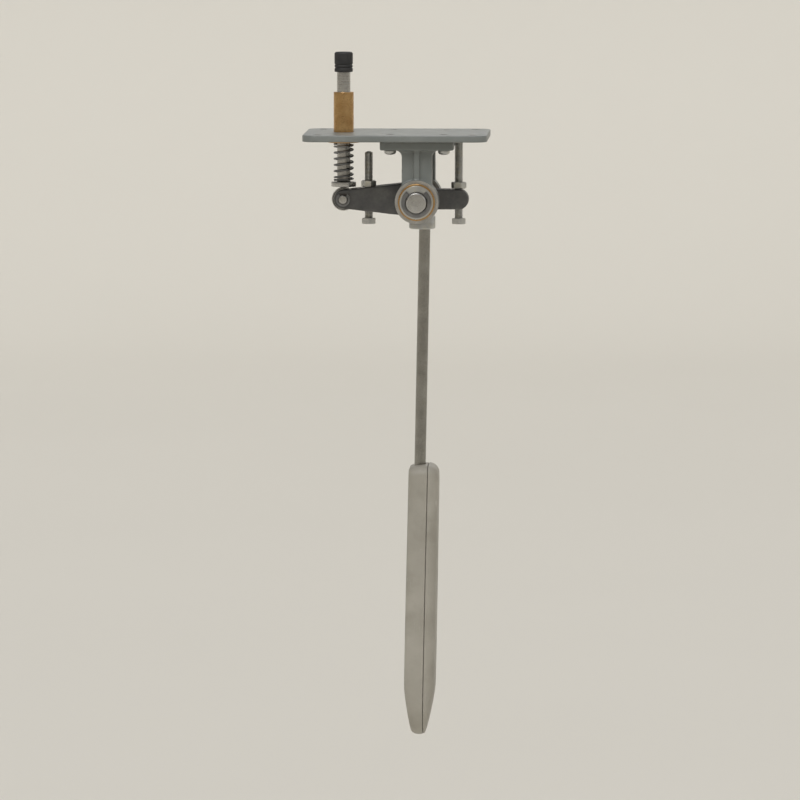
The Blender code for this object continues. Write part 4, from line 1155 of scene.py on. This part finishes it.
def bowl(shape, side, inset, steps, crown):
    """Rings of vertices over one face of the pad, from its rim to near its middle line."""
    rounding = PAD_BACK_ROUND if side > 0 else PAD_KNEE_ROUND
    low_middle, high_middle = PAD_HALF_BREADTH, PAD_LENGTH - PAD_TOP_HALF_BREADTH
    rings = []
    for away, further, full, start in pad_rings(rounding, inset, steps, crown):
        row = []
        for y, up in pad_outline():
            middle = min(max(up, low_middle), high_middle)
            reach = hypot(y, up - middle)
            share = (reach - away) * (1 - further) / reach
            height = middle + (up - middle) * share
            depth = depth_at(height, side) - inset + crown * (0.5 - (1 - further) ** 2)
            rise = full * max(PAD_INSIDE_MIN, depth) + (1 - full) * start
            x = PAD_PARTING_X + side * rise
            z = PAD_TOP - PAD_LENGTH + height + slant_at(height, x)
            row.append(shape.verts.new((x, ROD_DROP_Y + y * share, z)))
        rings.append(row)
    return rings


def cover_middle(shape, row):
    """Closes the innermost ring with strips across the pad's middle line."""
    half = len(row) // 2
    for k in range(half):
        shape.faces.new(list(dict.fromkeys((row[k], row[k + 1], row[-k - 1], row[-k]))))


def pad_shell(side, look):
    """A moulded half of the pad with an even wall, open at the parting plane."""
    shape = bmesh.new()
    outer = bowl(shape, side, 0.0, 12, PAD_CROWN)
    inner = bowl(shape, side, PAD_WALL, 6, 0.0)
    bridge(shape, list(reversed(outer)) + inner)
    cover_middle(shape, outer[-1])
    cover_middle(shape, inner[-1])
    return solid(shape, look)


def back_shell(looks):
    """The shell away from the knee, with ribs for the rod, bosses, and sunk screw seats."""
    shell = pad_shell(1, looks["pad"])
    rim = PAD_PARTING_X + GAP / 2
    wall = PAD_BACK_X - PAD_WALL / 2
    at_screws(shell, PAD_SCREWS, bar(rim, (0.0043, wall)), 40, "UNION")
    at_screws(shell, KEEPER_SCREWS, bar(-ROD_R, (0.0036, wall)), 40, "UNION")
    for down, half, reach in ROD_RIBS:
        corners = [(rim, reach), (0.001, reach), (wall, reach - RIB_CHAMFER)]
        outline = corners + [(x, -y) for x, y in reversed(corners)]
        carve(shell, moved(slab(outline, -half, half), at_pad(0.0, down)), "UNION")
    carve(shell, moved(cylinder(ROD_R + GAP, -0.008, 0.005), at_pad(0.0, 0.0)))
    half, out = ROD_R + 2 * GAP, PAD_PARTING_X * 2
    channel = arc((0.0, 0.0), half, -90, 90, 24) + [(out, half), (out, -half)]
    carve(shell, moved(slab(channel, -ROD_IN_PAD - 0.002, -0.0038), at_pad(0.0, 0.0)))
    room, reach = 0.00155, 0.0063
    pin_room = block((-0.0072, -reach, -room), (room, reach, room))
    carve(shell, moved(pin_room, at_pad(0.0, LOCATING_PIN_DOWN)))
    shank_r, head_r, edge, seat = SMALL_SCREW_R + GAP, 0.0031, 0.0004, PAD_SCREW_SEAT_X - GAP
    mouth_r = head_r + 2 * edge
    profile = [(0.0, -0.02), (shank_r, -0.02), (shank_r, seat), (head_r, seat)]
    profile += [(head_r, PAD_BACK_X - edge), (mouth_r, PAD_BACK_X + edge), (mouth_r, 0.02)]
    at_screws(shell, PAD_SCREWS, profile + [(0.0, 0.02)], 48)
    at_screws(shell, KEEPER_SCREWS, bar(-0.02, (shank_r, 0.004)), 32)
    piece(closed(shell), "pad_back_shell", base=LEVER_FRAME, smooth=40)


def knee_shell(looks):
    shell = pad_shell(-1, looks["pad"])
    rim = PAD_PARTING_X - GAP / 2
    wall = PAD_KNEE_X + PAD_WALL / 2
    inside = PAD_KNEE_X + PAD_WALL
    at_screws(shell, PAD_SCREWS, bar(wall, (0.0038, rim)), 40, "UNION")
    at_screws(shell, PAD_SCREWS, bar(inside, (SMALL_SCREW_R + GAP, 0.0)), 32)
    piece(shell, "pad_knee_shell", base=LEVER_FRAME, smooth=40)


def keeper(looks):
    near, thickness, half_y, half_z = -ROD_R - GAP, 0.002, 0.013, 0.006
    outline = [(half_z, half_y), (-half_z, half_y), (-half_z, -half_y), (half_z, -half_y)]
    outline = rounded(outline, 0.002, closed=True, steps=8)
    strap = bevel(solid(slab(outline, near - thickness, near), looks["zinc"]), 0.0002, 2)
    for y, _ in KEEPER_SCREWS:
        carve(strap, moved(cylinder(SMALL_SCREW_R + GAP, -0.02, 0.02, 40), (0.0, y, 0.0)))
    piece(strap, "rod_keeper", at_pad(0.0, KEEPER_DOWN), "+X", LEVER_FRAME)
    seat_x = near - thickness - GAP
    small_screws("keeper_screw", KEEPER_SCREWS, KEEPER_SCREW_SIZES, seat_x, "+X", 0.0, looks["zinc"])


def small_screws(name, places, sizes, seat_x, along, turn, look):
    """Screws across the pad, each turned further than the one before, as if driven by hand."""
    for n, (y, down) in enumerate(places, 1):
        screw = pan_screw(*sizes, look)
        screw.data.transform(Matrix.Rotation(turn * n, 4, "Z"))
        place = Vector(at_pad(y, down)) + Vector((seat_x, 0.0, 0.0))
        piece(screw, f"{name}_{n}", place, along, LEVER_FRAME)


def pad_screws(looks):
    small_screws("pad_screw", PAD_SCREWS, PAD_SCREW_SIZES, PAD_SCREW_SEAT_X, "-X", 0.9, looks["zinc"])


# ---- studio ----


def studio_floor():
    """A pale floor that curves up into a low round wall, well outside the camera's place."""
    floor_z, inner_r, floor_r, curve_r, wall_top = -0.735, 3.0, 7.0, 2.0, 2.4
    curve = [(curve_r * sin(t), curve_r * (1 - cos(t))) for t in quarter_turn(24)]
    profile = [(0.0, floor_z), (inner_r, floor_z)]
    profile += [(floor_r + out, floor_z + up) for out, up in curve]
    profile.append((floor_r + curve_r, wall_top))
    look = Look("floor_paper")
    color = look.blend(look.noise(0.8, 2.0), (0.70, 0.675, 0.615), (0.72, 0.695, 0.635))
    paper = look.done(color, 0.85, look.bump(look.noise(0.01), 0.05, 0.0005))
    floor = solid(turned(profile), paper)
    floor.name = "studio_floor"
    floor.data.shade_smooth()


# Soft boxes far outside: each one's direction, half angle and soft rim in degrees, and brightness
SOFT_BOXES = (
    ((-0.85, 0.35, 0.30), 30, 14, 0.80),
    ((-0.25, -0.80, 0.50), 26, 12, 1.00),
    ((0.10, 0.15, 1.0), 30, 16, 0.60),
)
KEY_WAY = (0.14, 0.56, 0.70)


def studio_light():
    """Soft light from all round, stronger from a few broad boxes, and a broad key light."""
    key = bpy.data.lights.new("key", "SUN")
    key.energy = 1.36
    key.angle = radians(28)
    lamp = bpy.data.objects.new("key", key)
    bpy.context.scene.collection.objects.link(lamp)
    lamp.rotation_euler = Vector(KEY_WAY).to_track_quat("Z", "Y").to_euler()
    world = bpy.data.worlds.new("studio")
    bpy.context.scene.world = world
    world.use_nodes = True
    sky = Graph(world.node_tree)
    way = sky.add("TexCoord", "Generated")
    height = sky.add("SeparateXYZ", "Z", {0: way})
    light = sky.band(height, 0.0, 0.9, 0.12, 0.24)
    for aim, half, softness, brightness in SOFT_BOXES:
        outer, inner = (cos(radians(half + side * softness / 2)) for side in (1, -1))
        lean = sky.dot(way, Vector(aim).normalized())
        spot = sky.band(lean, outer, inner, 0.0, brightness, interpolation_type="SMOOTHSTEP")
        light = sky.plus(light, spot)
    background = world.node_tree.nodes["Background"]
    sky.join((1.0, 0.985, 0.965), background.inputs["Color"])
    sky.join(light, background.inputs["Strength"])
    bpy.context.scene.view_settings.view_transform = "Standard"


def studio_camera(target, height):
    """A long lens behind the table and slightly above, as far off as the photographer stood."""
    azimuth, elevation, distance = radians(182.4), radians(5.2), 4.3
    flat = cos(elevation)
    back = Vector((sin(azimuth) * flat, -cos(azimuth) * flat, sin(elevation)))
    lens = bpy.data.cameras.new("camera")
    camera = bpy.data.objects.new("camera", lens)
    bpy.context.scene.collection.objects.link(camera)
    camera.location = target + back * distance
    camera.rotation_euler = (-back).to_track_quat("-Z", "Y").to_euler()
    lens.sensor_width = 36.0
    lens.lens = lens.sensor_width * distance / (1.14 * height)
    lens.clip_end = 50.0
    bpy.context.scene.camera = camera


def main():
    looks = make_looks()
    for make in (
        mounting_plate, hangers, bushes, guide_sleeve, return_spring, rocker_shaft,
        washers_and_clip, lift_arm, set_screw, stops, roller_group, lift_rod, thumb_screw,
        lever_rod, lever_pins, back_shell, knee_shell, keeper, pad_screws,
    ):
        make(looks)
    low, high = cad_box
    studio_floor()
    studio_light()
    studio_camera((low + high) / 2, high.z - low.z)


main()
